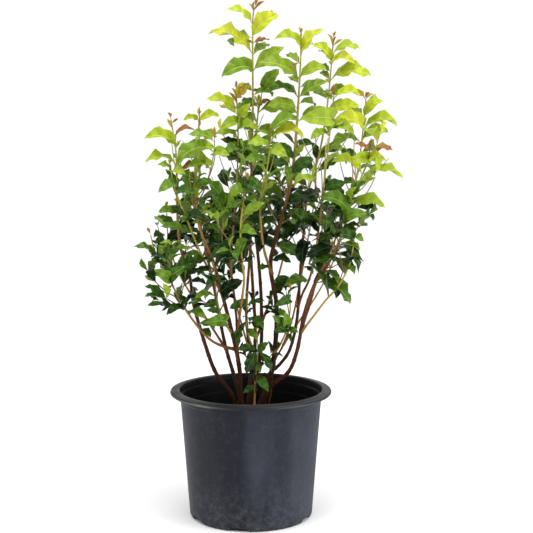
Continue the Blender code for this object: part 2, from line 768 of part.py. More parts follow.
def thin_out(masses):
    """Choose the leaves made as solids: each tip's, the outermost and the largest, spaced out."""
    leaves = [(leaf, mass) for mass in masses for leaf in mass.leaves]
    leaves.sort(key=lambda pair: (not pair[0].is_leading, not pair[0].is_outer(),
                                  -pair[0].length))
    kept = []
    for leaf, mass in leaves:
        middle = leaf.middle()
        if leaf.is_leading or all((middle - other).length > SOLID_SPACING for other, _ in kept):
            kept.append((middle, leaf))
    chosen = {id(leaf) for _, leaf in kept}
    for mass in masses:
        mass.leaves = [leaf for leaf in mass.leaves if id(leaf) in chosen]
        used = {leaf.twig for leaf in mass.leaves}
        mass.twigs = [twig for number, twig in enumerate(mass.twigs) if number in used or not number]


def build_mass(mass):
    """Make one mass as one solid, with a leaf fewer for as long as it doesn't close."""
    name = mass.shoot.name.replace("stem_", "foliage_").replace("bough_", "foliage_")
    foliage = join_mass(name, mass)
    while foliage is None:
        mass.leaves.pop()
        foliage = join_mass(name, mass)
    top = max(vertex.co.z for vertex in foliage.data.vertices)
    low, high = LEAF_COLOUR_HEIGHTS
    paint(foliage, mixed(LEAF_LOW_COLOUR, LEAF_HIGH_COLOUR, (top - low) / (high - low)), 0.45)


def join_mass(name, mass):
    """Join a mass's twigs and leaves, or give nothing where the result isn't closed."""
    leader = new_object(name, *twig_solid(*mass.twigs[0]))
    parts = bpy.data.collections.new(name + "_parts")
    bpy.context.scene.collection.children.link(parts)
    solids = [twig_solid(*twig) for twig in mass.twigs[1:]]
    solids += [leaf.solid() for leaf in mass.leaves]
    for solid in solids:
        piece = new_object(name + "_piece", *solid)
        bpy.context.scene.collection.objects.unlink(piece)
        parts.objects.link(piece)
    if join(leader, parts, "UNION"):
        return leader
    bpy.data.objects.remove(leader)
    return None


def is_closed(mesh):
    """Whether each edge of a mesh lies between two faces."""
    shape = bmesh.new()
    shape.from_mesh(mesh)
    closed = all(len(edge.link_faces) == 2 for edge in shape.edges)
    shape.free()
    return closed


def keep_largest(mesh):
    """Keep a mesh's largest closed surface, and drop loose scraps and sealed hollows."""
    shape = bmesh.new()
    shape.from_mesh(mesh)
    bmesh.ops.remove_doubles(shape, verts=shape.verts, dist=0.0002 * MM)
    bmesh.ops.triangulate(shape, faces=shape.faces)
    left = set(shape.faces)
    islands = []
    while left:
        front = [left.pop()]
        island = list(front)
        while front:
            around_it = {face for edge in front.pop().edges for face in edge.link_faces}
            found = around_it & left
            left -= found
            front += found
            island += found
        islands.append(island)
    islands.sort(key=len)
    for island in islands[:-1]:
        bmesh.ops.delete(shape, geom=island, context="FACES")
    shape.to_mesh(mesh)
    shape.free()


def main():
    """Build the pot, the soil, the stems and boughs, and the foliage."""
    for thing in list(bpy.data.objects):
        bpy.data.objects.remove(thing)
    build_pot()
    build_soil()
    lines = {shoot.name: Line(shoot) for shoot in SHOOTS}
    limb_trees = build_limbs(lines)
    masses = grow_masses(lines, limb_trees)
    thin_out(masses)
    for mass in masses:
        build_mass(mass)


main()
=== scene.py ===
"""Dressed model of a potted orange tea olive: an evergreen shrub of many stems in a nursery pot.

Metres, +Z up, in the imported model's own frame. The origin is on the pot's axis, on its flat
underside, and the camera looks along +Y. The stems, twigs and leaves grow by the same seeded
rule as the solids, carried on here to finer twigs, real leaf shapes and buds.
"""
import json
import logging
import math
import random
from dataclasses import dataclass
from enum import Enum, IntEnum
from typing import Any, Iterable, Optional, Sequence, Union

import bmesh
import bpy
from mathutils import Euler, Matrix, Quaternion, Vector, noise
from mathutils.bvhtree import BVHTree
from mathutils.kdtree import KDTree

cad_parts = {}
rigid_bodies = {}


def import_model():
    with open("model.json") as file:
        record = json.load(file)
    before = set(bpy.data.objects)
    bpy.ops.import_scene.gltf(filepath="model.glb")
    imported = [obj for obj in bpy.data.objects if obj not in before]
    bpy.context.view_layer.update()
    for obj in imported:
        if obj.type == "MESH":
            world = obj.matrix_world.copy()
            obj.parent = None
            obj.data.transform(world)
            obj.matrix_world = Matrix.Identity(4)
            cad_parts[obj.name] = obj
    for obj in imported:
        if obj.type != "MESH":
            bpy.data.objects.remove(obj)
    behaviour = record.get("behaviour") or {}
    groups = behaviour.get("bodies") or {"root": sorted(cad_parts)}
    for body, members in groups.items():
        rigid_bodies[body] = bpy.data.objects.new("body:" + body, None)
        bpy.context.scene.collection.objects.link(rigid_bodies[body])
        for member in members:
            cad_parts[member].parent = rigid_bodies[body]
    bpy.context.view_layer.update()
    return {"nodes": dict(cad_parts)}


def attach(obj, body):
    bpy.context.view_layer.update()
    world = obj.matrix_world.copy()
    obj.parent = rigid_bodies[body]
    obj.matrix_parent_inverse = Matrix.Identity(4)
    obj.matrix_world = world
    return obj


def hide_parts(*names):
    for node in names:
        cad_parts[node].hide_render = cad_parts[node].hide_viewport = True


MM = 0.001
UP = Vector((0.0, 0.0, 1.0))
GAP = 0.3 * MM
BODY = "root"
LOG = logging.getLogger("tea_olive")

Span = tuple[float, float]
Triple = tuple[float, float, float]
Solid = tuple[list[Vector], list[tuple[int, ...]]]
Dice = random.Random
Socket = bpy.types.NodeSocket
Thing = bpy.types.Object
Material = bpy.types.Material


# Numbers and colours


def rows(text: str) -> list[tuple[float, ...]]:
    """The rows of numbers in a text, with commas between the rows."""
    return [tuple(map(float, row.split())) for row in text.split(",")]


def palette(text: str) -> tuple[Triple, ...]:
    """Turn display colours into linear ones.

    Args:
        text: Rows of red, green and blue from 0 to 255, as rows takes them.

    Returns:
        The linear colours.
    """
    shares = [[value / 255 for value in row] for row in rows(text)]
    return tuple(tuple(share / 12.92 if share <= 0.04045 else ((share + 0.055) / 1.055) ** 2.4
                       for share in row) for row in shares)


def blend(share: float, low: float, high: float) -> float:
    """A value between two, by a share from 0 to 1, eased at both ends."""
    share = min(max(share, 0.0), 1.0)
    return low + (high - low) * (share * share * (3 - 2 * share))


def spaced(start: float, end: float, count: int) -> list[float]:
    """Evenly spaced values from one to another, one more than the count of steps."""
    return [start + (end - start) * i / count for i in range(count + 1)]


# Node trees


class NodeBench:
    """A node tree under construction, with short calls that add nodes and join their sockets."""

    def __init__(self, tree: bpy.types.NodeTree) -> None:
        """Take the tree to work on."""
        self.tree = tree

    def add(self, kind: str, inputs: Optional[dict[Any, Any]] = None,
            **settings: Any) -> bpy.types.Node:
        """Add one node and fill or join its inputs.

        Args:
            kind: Blender's own identifier of the node.
            inputs: Values or output sockets for its inputs, by name or by number.
            **settings: Values of the node's properties.

        Returns:
            The new node.
        """
        node = self.tree.nodes.new(kind)
        for name, value in settings.items():
            setattr(node, name, value)
        for key, value in (inputs or {}).items():
            if isinstance(value, Socket):
                self.tree.links.new(value, node.inputs[key])
            else:
                node.inputs[key].default_value = value
        return node

    def out(self, kind: str, inputs: Optional[dict[Any, Any]] = None, **settings: Any) -> Socket:
        """Add one node, as add does, and give its first output."""
        return self.add(kind, inputs, **settings).outputs[0]

    def math(self, operation: str, first: Any, second: Any) -> Socket:
        """The output of a Math node on two values or sockets."""
        return self.out("ShaderNodeMath", {0: first, 1: second}, operation=operation)

    def times(self, first: Any, second: Any) -> Socket:
        """The product of two values or sockets."""
        return self.math("MULTIPLY", first, second)

    def scaled(self, vector: Socket, scale: Triple) -> Socket:
        """A vector multiplied by another, part by part."""
        return self.out("ShaderNodeVectorMath", {0: vector, 1: scale}, operation="MULTIPLY")

    def upward(self, vector: Socket) -> Socket:
        """The Z part of a vector."""
        return self.add("ShaderNodeSeparateXYZ", {0: vector}).outputs["Z"]

    def mapped(self, value: Any, low: float, high: float, to_low: float = 0.0,
               to_high: float = 1.0) -> Socket:
        """A value taken from one range to another, held at both ends."""
        return self.out("ShaderNodeMapRange", {"Value": value, "From Min": low, "From Max": high,
                                               "To Min": to_low, "To Max": to_high})

    def noise(self, place: Any, scale: Any, detail: float = 3.0, roughness: float = 0.5) -> Socket:
        """The grey value of a noise texture at a place."""
        return self.out("ShaderNodeTexNoise", {"Vector": place, "Scale": scale, "Detail": detail,
                                               "Roughness": roughness})


class Surface(NodeBench):
    """A material under construction on one Principled shader."""

    def __init__(self, name: str, colour: Triple, roughness: float, gloss: float = 0.5) -> None:
        """Start the material.

        Args:
            name: The material's name.
            colour: Its linear base colour.
            roughness: Its roughness.
            gloss: Its specular level.
        """
        self.material = bpy.data.materials.new(name)
        self.material.use_nodes = True
        self.material.diffuse_color = (*colour, 1.0)
        super().__init__(self.material.node_tree)
        self.inputs = self.tree.nodes["Principled BSDF"].inputs
        self.inputs["Base Color"].default_value = (*colour, 1.0)
        self.inputs["Roughness"].default_value = roughness
        self.inputs["Specular IOR Level"].default_value = gloss

    def place(self) -> Socket:
        """The place on the object, in its own coordinates."""
        return self.add("ShaderNodeTexCoord").outputs["Object"]

    def stretched(self, place: Socket, scale: Triple) -> Socket:
        """A place scaled along each axis, so that a noise on it runs in streaks."""
        return self.out("ShaderNodeMapping", {"Vector": place, "Scale": scale})

    def spots(self, place: Socket, scale: float, low: float, high: float) -> Socket:
        """Round spots: 1 in their middle, fading to 0 between two distances from it."""
        cells = self.out("ShaderNodeTexVoronoi", {"Vector": place, "Scale": scale})
        return self.mapped(cells, low, high, 1.0, 0.0)

    def mixed(self, share: Any, first: Any, second: Any) -> Socket:
        """Mix two colours.

        Args:
            share: The share of the second, as a value or a socket.
            first: One colour, or its socket.
            second: The other colour, or its socket.

        Returns:
            The mixed colour's socket.
        """
        first, second = (colour if isinstance(colour, Socket) else (*colour, 1.0)
                         for colour in (first, second))
        return self.add("ShaderNodeMix", {0: share, 6: first, 7: second}, data_type="RGBA").outputs[2]

    def dress(self, colour: Socket, height: Socket, strength: float, distance: float) -> Material:
        """Join the finished colour and a bump to the shader.

        Args:
            colour: The colour's socket.
            height: The socket of the bump's height.
            strength: How strong the bump is, from 0 to 1.
            distance: How far it stands out, in metres.

        Returns:
            The material.
        """
        bump = self.out("ShaderNodeBump", {"Strength": strength, "Distance": distance,
                                           "Height": height})
        self.tree.links.new(colour, self.inputs["Base Color"])
        self.tree.links.new(bump, self.inputs["Normal"])
        return self.material


class ShapeTree(NodeBench):
    """A Geometry Nodes tree with named inputs, which turns one object into a plain mesh."""

    def __init__(self, name: str) -> None:
        """Start a tree with its geometry input and output.

        Args:
            name: The tree's name.
        """
        super().__init__(bpy.data.node_groups.new(name, "GeometryNodeTree"))
        for way in ("INPUT", "OUTPUT"):
            self.tree.interface.new_socket("Geometry", in_out=way,
                                           socket_type="NodeSocketGeometry")
        self.entry = self.add("NodeGroupInput")
        self.start = self.entry.outputs["Geometry"]
        self.values: dict[str, Any] = {}

    def given(self, name: str, kind: str, value: Any) -> Socket:
        """Add a named input to the tree.

        Args:
            name: The input's name.
            kind: The socket's kind, such as Float or Material.
            value: What the modifier gives it.

        Returns:
            The socket to join to nodes in the tree.
        """
        socket = self.tree.interface.new_socket(name, in_out="INPUT",
                                                socket_type="NodeSocket" + kind)
        self.values[socket.identifier] = value
        return self.entry.outputs[name]

    def attribute(self, name: str, kind: str = "FLOAT") -> Socket:
        """The socket that reads a named attribute."""
        return self.add("GeometryNodeInputNamedAttribute", {"Name": name},
                        data_type=kind).outputs["Attribute"]

    def above(self, value: Socket, least: float) -> Socket:
        """Whether a value is greater than another."""
        return self.out("FunctionNodeCompare", {0: value, 1: least}, operation="GREATER_THAN")

    def dealt(self, kind: str, low: Any, high: Any, seed: Socket) -> Socket:
        """A random value of a kind between two."""
        return self.add("FunctionNodeRandomValue", {"Min": low, "Max": high, "Seed": seed},
                        data_type=kind).outputs["Value"]

    def scattered(self, points: Socket, forms: Socket, choice: Socket, turn: Socket,
                  size: Socket) -> Socket:
        """Set one of several forms on each point.

        Args:
            points: The points.
            forms: The socket of the collection that holds the forms.
            choice: The number of each point's form.
            turn: How it is turned.
            size: Its scale.

        Returns:
            The socket of the instances, not yet realized.
        """
        shapes = self.out("GeometryNodeCollectionInfo", {"Collection": forms,
                                                         "Separate Children": True})
        return self.out("GeometryNodeInstanceOnPoints", {
            "Points": points, "Instance": shapes, "Pick Instance": True, "Instance Index": choice,
            "Rotation": turn, "Scale": size})

    def end(self, geometry: Socket, mark: Socket, finishes: Sequence[Material],
            lows: Optional[Sequence[float]] = None) -> None:
        """Realize the geometry, give each part its material by a mark, and join it to the output.

        Args:
            geometry: What the tree has made.
            mark: The mark's socket.
            finishes: The materials, in the order of their marks.
            lows: The mark above which each holds. They're whole numbers when left out.
        """
        geometry = self.out("GeometryNodeRealizeInstances", {0: geometry})
        for number, finish in enumerate(finishes):
            chosen = self.above(mark, lows[number] if lows else number - 0.5)
            geometry = self.out("GeometryNodeSetMaterial", {
                "Geometry": geometry, "Selection": chosen,
                "Material": self.given(f"Finish {number}", "Material", finish)})
        self.add("NodeGroupOutput", {0: geometry})

    def run(self, thing: Thing) -> None:
        """Run the tree on an object and keep the result as its plain mesh, with no modifier.

        Args:
            thing: The object, in the scene.
        """
        modifier = thing.modifiers.new(self.tree.name, "NODES")
        modifier.node_group = self.tree
        for identifier, value in self.values.items():
            modifier[identifier] = value
        keep_shape(thing)


def keep_shape(thing: Thing) -> None:
    """Replace an object's mesh by what its modifiers make of it, and remove them.

    Args:
        thing: The object, in the scene.
    """
    seen = thing.evaluated_get(bpy.context.evaluated_depsgraph_get())
    mesh = bpy.data.meshes.new_from_object(seen)
    thing.modifiers.clear()
    old = thing.data
    thing.data = mesh
    mesh.name = thing.name
    bpy.data.meshes.remove(old)


# Finishes


@dataclass(frozen=True)
class PotPlastic:
    """Matt moulded plastic, blue-grey, with dusty smudges in streaks that partly paint in highlights, pale
    specks, a soiled foot, and a near-black lip with painted glints and a painted highlight line.
    """

    name: str
    colour: Triple
    smudge_and_highlight: Triple
    dust: Triple
    dustiness: float = 1.0
    gloss: float = 0.2
    roughness: float = 0.5
    rim_gloss: float = 0.12
    # The lip's near-black, the colour of its painted glints and that of its painted highlight line.
    rim_colours: tuple[Triple, ...] = palette("16 17 19, 58 58 60, 112 106 96")
    soiled_height: float = 85 * MM
    rim_heights: Span = (213.5 * MM, 215.5 * MM)
    shiny_heights: Span = (205 * MM, 214 * MM)
    highlight_radii: Span = (139.3 * MM, 139.9 * MM)

    def make(self) -> Material:
        """Build the material.

        Returns:
            The material.
        """
        bench = Surface(self.name, self.colour, self.roughness, self.gloss)
        dusty = self.dustiness
        rim, rim_glint, highlight_colour = self.rim_colours
        place = bench.place()
        height = bench.upward(place)
        cloud = bench.noise(place, 7.0, 4.0, 0.5)
        mottle = bench.noise(place, 95.0, 4.0, 0.7)
        # The smudges follow broad clouds and vertical streaks. Their lighter colour is partly dust and
        # partly painted highlight streaks down the wall.
        streak = bench.noise(bench.stretched(place, (14.0, 14.0, 1.9)), 1.0, 3.0, 0.45)
        smudge_and_highlight_share = bench.times(bench.mapped(cloud, 0.34, 0.66, 0.3, 1.0),
                              bench.mapped(streak, 0.40, 0.60))
        colour = bench.mixed(bench.times(smudge_and_highlight_share, dusty), self.colour, self.smudge_and_highlight)
        colour = bench.mixed(bench.mapped(mottle, 0.50, 0.80, 0.0, 0.16 * dusty), colour, self.dust)
        foot = bench.times(bench.mapped(height, 0.0, self.soiled_height, 1.0, 0.0),
                           bench.mapped(mottle, 0.36, 0.70))
        colour = bench.mixed(bench.times(foot, 0.42 * dusty), colour, self.dust)
        specks = bench.times(bench.spots(place, 210.0, 0.10, 0.16), bench.mapped(cloud, 0.50, 0.60))
        colour = bench.mixed(bench.times(specks, 0.5 * dusty), colour, self.dust)
        # Painted glints: lighter rings round the lip, mixed into its near-black colour.
        rings = bench.noise(bench.stretched(place, (9.0, 9.0, 420.0)), 1.0, 2.0, 0.5)
        rim = bench.mixed(bench.mapped(rings, 0.46, 0.62, 0.0, 0.8 * dusty), rim, rim_glint)
        colour = bench.mixed(bench.mapped(height, *self.rim_heights, 0.0, 0.85), colour, rim)
        radius = bench.add("ShaderNodeVectorMath", {0: bench.scaled(place, (1.0, 1.0, 0.0))},
                           operation="LENGTH").outputs["Value"]
        # Painted highlight: a pale line round the lip's outermost edge, broken up by the streaks.
        painted_highlight = bench.times(bench.mapped(radius, *self.highlight_radii),
                           bench.mapped(streak, 0.36, 0.56, 0.2, 0.75))
        colour = bench.mixed(bench.times(painted_highlight, dusty), colour, highlight_colour)
        rough = bench.math("SUBTRACT",
                           bench.mapped(smudge_and_highlight_share, 0.0, 0.8, self.roughness, self.roughness + 0.2),
                           bench.mapped(height, *self.shiny_heights, 0.0, self.rim_gloss))
        bench.tree.links.new(rough, bench.inputs["Roughness"])
        grain = bench.math("ADD", bench.noise(place, 900.0, 2.0), bench.times(streak, 2.0))
        return bench.dress(colour, grain, 0.25, 0.4 * MM)


@dataclass(frozen=True)
class Crumble:
    """A dull rough finish that varies between two colours, for potting mix and its chips."""

    name: str
    colours: tuple[Triple, ...]
    scale: float = 420.0

    def make(self) -> Material:
        """Build the material.

        Returns:
            The material.
        """
        bench = Surface(self.name, self.colours[0], 0.95)
        grain = bench.noise(bench.place(), self.scale, 6.0, 0.7)
        colour = bench.mixed(bench.mapped(grain, 0.35, 0.68), *self.colours)
        return bench.dress(colour, grain, 0.7, 1.2 * MM)


@dataclass(frozen=True)
class Bark:
    """Bark that turns from green at a shoot's tip to tan, red-brown and dark brown at its foot.

    It reads the attribute age of each limb: how old it looks, as a distance from the tip in metres.
    """

    name: str = "bark"
    places: tuple[float, ...] = (0.0, 0.03, 0.16, 0.27, 0.36, 0.50, 0.74)
    colours: tuple[Triple, ...] = palette("140 104 58, 168 160 62, 160 140 66, 164 122 70, "
                                          "124 80 44, 84 50 28, 52 29 14")
    pore: Triple = palette("128 92 62")[0]
    longest: float = 1.1
    roughness: float = 0.62
    gloss: float = 0.1

    def make(self) -> Material:
        """Build the material.

        Returns:
            The material.
        """
        oldest = self.colours[-1]
        bench = Surface(self.name, oldest, self.roughness, self.gloss)
        age = bench.add("ShaderNodeAttribute", attribute_name="age").outputs["Fac"]
        place = bench.place()
        cloud = bench.noise(place, 26.0)
        shifted = bench.math("ADD", age, bench.mapped(cloud, 0.25, 0.75, -0.035, 0.035))
        ramp = bench.add("ShaderNodeValToRGB", {0: bench.mapped(shifted, 0.0, self.longest)})
        elements = ramp.color_ramp.elements
        for index, (distance, colour) in enumerate(zip(self.places, self.colours)):
            spot = elements[index] if index < 2 else elements.new(1.0)
            spot.position = distance / self.longest
            spot.color = (*colour, 1.0)
        streak = bench.noise(bench.stretched(place, (900.0, 900.0, 90.0)), 1.0, 4.0, 0.65)
        streaked = bench.times(bench.mapped(streak, 0.34, 0.60, 0.62, 0.0),
                               bench.mapped(age, 0.12, 0.40, 0.25, 1.0))
        colour = bench.mixed(streaked, ramp.outputs[0], oldest)
        pores = bench.times(bench.spots(place, 330.0, 0.10, 0.18),
                            bench.mapped(age, 0.20, 0.45, 0.0, 0.55))
        return bench.dress(bench.mixed(pores, colour, self.pore), streak, 0.6, 0.5 * MM)


@dataclass(frozen=True)
class LeafFinish:
    """The colours of one tint of leaf. They are plain, because a spray's tint is its place."""

    colours: tuple[Triple, ...]
    # How much darker the bands between veins are: partly the leaf's own tone, partly painted shade.
    hollow: float = 0.84
    roughness: float = 0.38
    gloss: float = 0.18

    def shades(self) -> int:
        """How many shades of blade there are, beside the underside and the rib."""
        return len(self.colours) - 2

    def make(self, name: str) -> list[Material]:
        """Build the materials of a tint.

        Args:
            name: The tint's name, which starts each material's name.

        Returns:
            The materials of the blades, of their darker bands between veins, which are partly the
            leaf's own tone and partly painted shade, of the underside and of the rib.
        """
        blades = self.colours[:self.shades()]
        named = [(f"blade_{index}", colour) for index, colour in enumerate(blades)]
        named += [(f"hollow_{index}", tuple(value * self.hollow for value in colour))
                  for index, colour in enumerate(blades)]
        named += zip(("underside", "rib"), self.colours[self.shades():])
        return [Surface(f"{name}_{title}", colour, self.roughness, self.gloss).material
                for title, colour in named]


class Tint(Enum):
    """The tints of leaf, from the young tips down to the darkest leaves. The dark tints are partly the
    older leaves' own colour and partly painted shade inside the crown.

    Each has three shades of blade, then its underside and its rib.
    """

    BRONZE = LeafFinish(palette("162 130 36, 174 150 42, 146 94 38, 152 122 50, 166 124 52"))
    LIME = LeafFinish(palette("172 187 32, 157 177 30, 184 190 40, 158 175 58, 196 204 92"))
    FRESH = LeafFinish(palette("125 152 32, 107 139 28, 143 167 38, 130 153 58, 168 182 78"))
    MID = LeafFinish(palette("84 121 24, 66 103 20, 102 137 34, 98 126 46, 134 156 66"),
                     0.76, 0.34, 0.18)
    DARK = LeafFinish(palette("42 75 15, 33 62 13, 56 92 22, 62 88 32, 88 116 50"),
                      0.70, 0.28, 0.13)
    DEEP = LeafFinish(palette("16 34 9, 11 26 8, 24 47 12, 34 54 20, 50 78 30"),
                      0.70, 0.28, 0.09)


# The growth rule, as in the solids' source


@dataclass(frozen=True)
class Shoot:
    """One stem or bough with the mass of foliage at its end, all sizes in millimetres."""

    name: str
    parent: str
    radius: float
    leaves_from: float
    path: str
    bare: Span = (0, 0)
    leaf_scale: float = 1.0


# Each path runs from its foot, in the soil or on its parent's axis, to the tip of its shoot. The
# points are the part's own. 36 of the 198 stand as a scratch program worked them out from places
# read in the photo, and 22 more lie within 3 mm of such a point.
SHOOTS = (
    Shoot("stem_left_outer", "", 4.4, 452,
          "-17 -6 168, -33 -14 214, -60 -19 253, -78 -22 303, -97 -24 372, -104 -25 424, -119 -25 472, "
          "-124 -24 543, -125 -19 625, -134 -10 688"),
    Shoot("stem_left_inner", "", 4.8, 462,
          "-8 -19 168, -17 -19 210, -19 -22 255, -27 -27 304, -50 -40 400, -63 -46 449, -83 -51 500, "
          "-93 -57 560, -86 -52 622, -84 -46 674"),
    Shoot("stem_centre", "", 4.0, 470,
          "3 1 168, 9 5 236, 18 7 297, 18 10 376, 13 10 449, 2 10 549, 2 8 617, 4 6 702, 4 4 845, 8 0 874",
          bare=(706, 768)),
    Shoot("stem_right_inner", "", 5.4, 492,
          "18 -2 168, 23 -5 204, 34 -9 244, 42 -14 301, 44 -20 370, 34 -23 432, 39 -25 474, 65 -26 568, "
          "75 -26 643, 83 -23 769, 84 -20 826",
          bare=(700, 735)),
    Shoot("stem_right", "", 3.6, 470,
          "13 14 168, 17 14 200, 27 14 238, 51 18 261, 69 22 288, 81 27 341, 86 31 416, 91 32 478, "
          "99 33 556, 120 33 633, 133 32 719, 142 30 824"),
    Shoot("stem_right_outer", "", 4.5, 440,
          "8 -13 168, 15 -16 198, 36 -21 232, 64 -28 256, 79 -35 296, 90 -40 357, 107 -45 409, "
          "126 -48 437, 151 -51 491, 169 -52 553, 192 -51 611, 200 -50 646"),
    Shoot("stem_middle", "", 3.5, 446,
          "-7 6 168, -3 20 224, 1 30 260, -8 40 344, -1 42 459, 4 42 560, 9 40 664, 20 32 733"),
    Shoot("stem_back_left", "", 4.0, 432,
          "-15 19 168, -25 32 220, -46 54 290, -62 76 370, -76 92 434, -92 104 510, -98 106 590, "
          "-90 96 694"),
    Shoot("stem_back", "", 4.2, 444,
          "1 23 168, 4 38 230, 8 66 310, 4 92 380, 0 112 446, -4 126 520, 8 132 600, 14 122 716"),
    Shoot("stem_thin_right", "", 2.3, 424,
          "26 25 168, 34 31 200, 40 37 256, 57 43 290, 74 54 337, 88 72 400, 102 92 470, 116 104 560, "
          "116 100 656"),
    Shoot("stem_low_front", "", 1.9, 214,
          "5 -29 168, 6 -33 204, 8 -38 250, 12 -42 296, 10 -46 330",
          leaf_scale=0.66),
    Shoot("bough_left_upright", "stem_left_inner", 2.6, 456,
          "-25 -26 294, -24 -20 340, -29 -17 392, -34 -17 450, -27 -14 530, -21 -8 640, -24 10 738",
          bare=(660, 690)),
    Shoot("bough_front", "stem_left_inner", 2.8, 430,
          "-22 -24 275, -23 -38 318, -18 -54 364, -11 -72 421, -15 -92 462, -16 -106 520, -6 -110 590"),
    Shoot("bough_left_low", "stem_left_inner", 2.7, 350,
          "-26 -26 296, -45 -33 302, -69 -42 316, -94 -51 346, -116 -60 382, -136 -67 424, -156 -70 462, "
          "-166 -68 498"),
    Shoot("bough_left_side", "stem_left_inner", 2.4, 474,
          "-47 -38 390, -60 -44 416, -74 -52 444, -88 -60 476, -106 -68 524, -124 -72 572, -132 -70 612"),
    Shoot("bough_middle_front", "stem_right_inner", 2.6, 500,
          "36 -23 425, 24 -36 462, 18 -48 500, 16 -62 556, 28 -70 612, 34 -68 668"),
    Shoot("bough_right_fork", "stem_right", 2.4, 446,
          "82 28 360, 90 16 386, 101 -4 415, 110 -26 462, 118 -44 540, 128 -54 636, 138 -58 734"),
    Shoot("bough_right_side", "stem_right_outer", 2.5, 470,
          "87 -38 336, 100 -26 372, 114 -8 414, 136 8 458, 158 20 510, 179 30 568, 190 36 630, 199 38 722"),
    Shoot("bough_right_low", "stem_right_outer", 2.2, 378,
          "85 -37 326, 102 -50 352, 124 -62 384, 146 -72 412, 164 -78 450, 172 -78 500"),
    Shoot("bough_low_left", "stem_left_inner", 2.0, 352,
          "-33 -31 326, -42 -44 342, -52 -54 366, -58 -62 400, -60 -64 436",
          leaf_scale=0.85),
    Shoot("bough_low_middle", "stem_centre", 2.0, 318,
          "13 6 258, 7 -8 286, -3 -22 316, -8 -32 350, -6 -38 392",
          leaf_scale=0.8),
    Shoot("bough_low_right", "stem_right_inner", 2.0, 316,
          "40 -13 286, 50 -27 304, 60 -39 330, 66 -46 362, 66 -50 402",
          leaf_scale=0.85),
    Shoot("bough_back_right", "stem_back", 2.6, 424,
          "7 59 292, 28 80 346, 50 104 406, 64 122 462, 70 134 530, 66 134 612"),
    Shoot("bough_back_left_low", "stem_back_left", 2.5, 392,
          "-42 50 278, -72 70 322, -102 86 366, -128 96 410, -146 98 462, -150 92 530"),
    Shoot("bough_back_low", "stem_back", 2.3, 372,
          "5 45 254, -10 72 300, -24 100 346, -34 122 392, -42 140 450, -42 146 500"),
    Shoot("bough_back_right_low", "stem_thin_right", 2.0, 384,
          "57 43 290, 86 60 330, 116 74 372, 140 82 416, 158 84 470, 166 80 540"),
)

# Twigs that the front shows bare of other leaves: the shoot that each leaves, how far from its
# tip, and the points that it runs through, in millimetres. A scratch program worked the points
# out from places read by eye in the photo.
SEEN_TWIGS = {
    "twig_left_middle": ("stem_left_inner", 130,
                         "-79 -58 565, -67 -66 600, -60 -66 633, -59 -64 657"),
    "twig_left_front": ("stem_left_inner", 240, "-54 -55 460, -48 -66 484, -46 -74 512, -42 -78 540"),
    "twig_low_left": ("bough_left_low", 140, "-124 -70 381, -139 -78 391"),
}
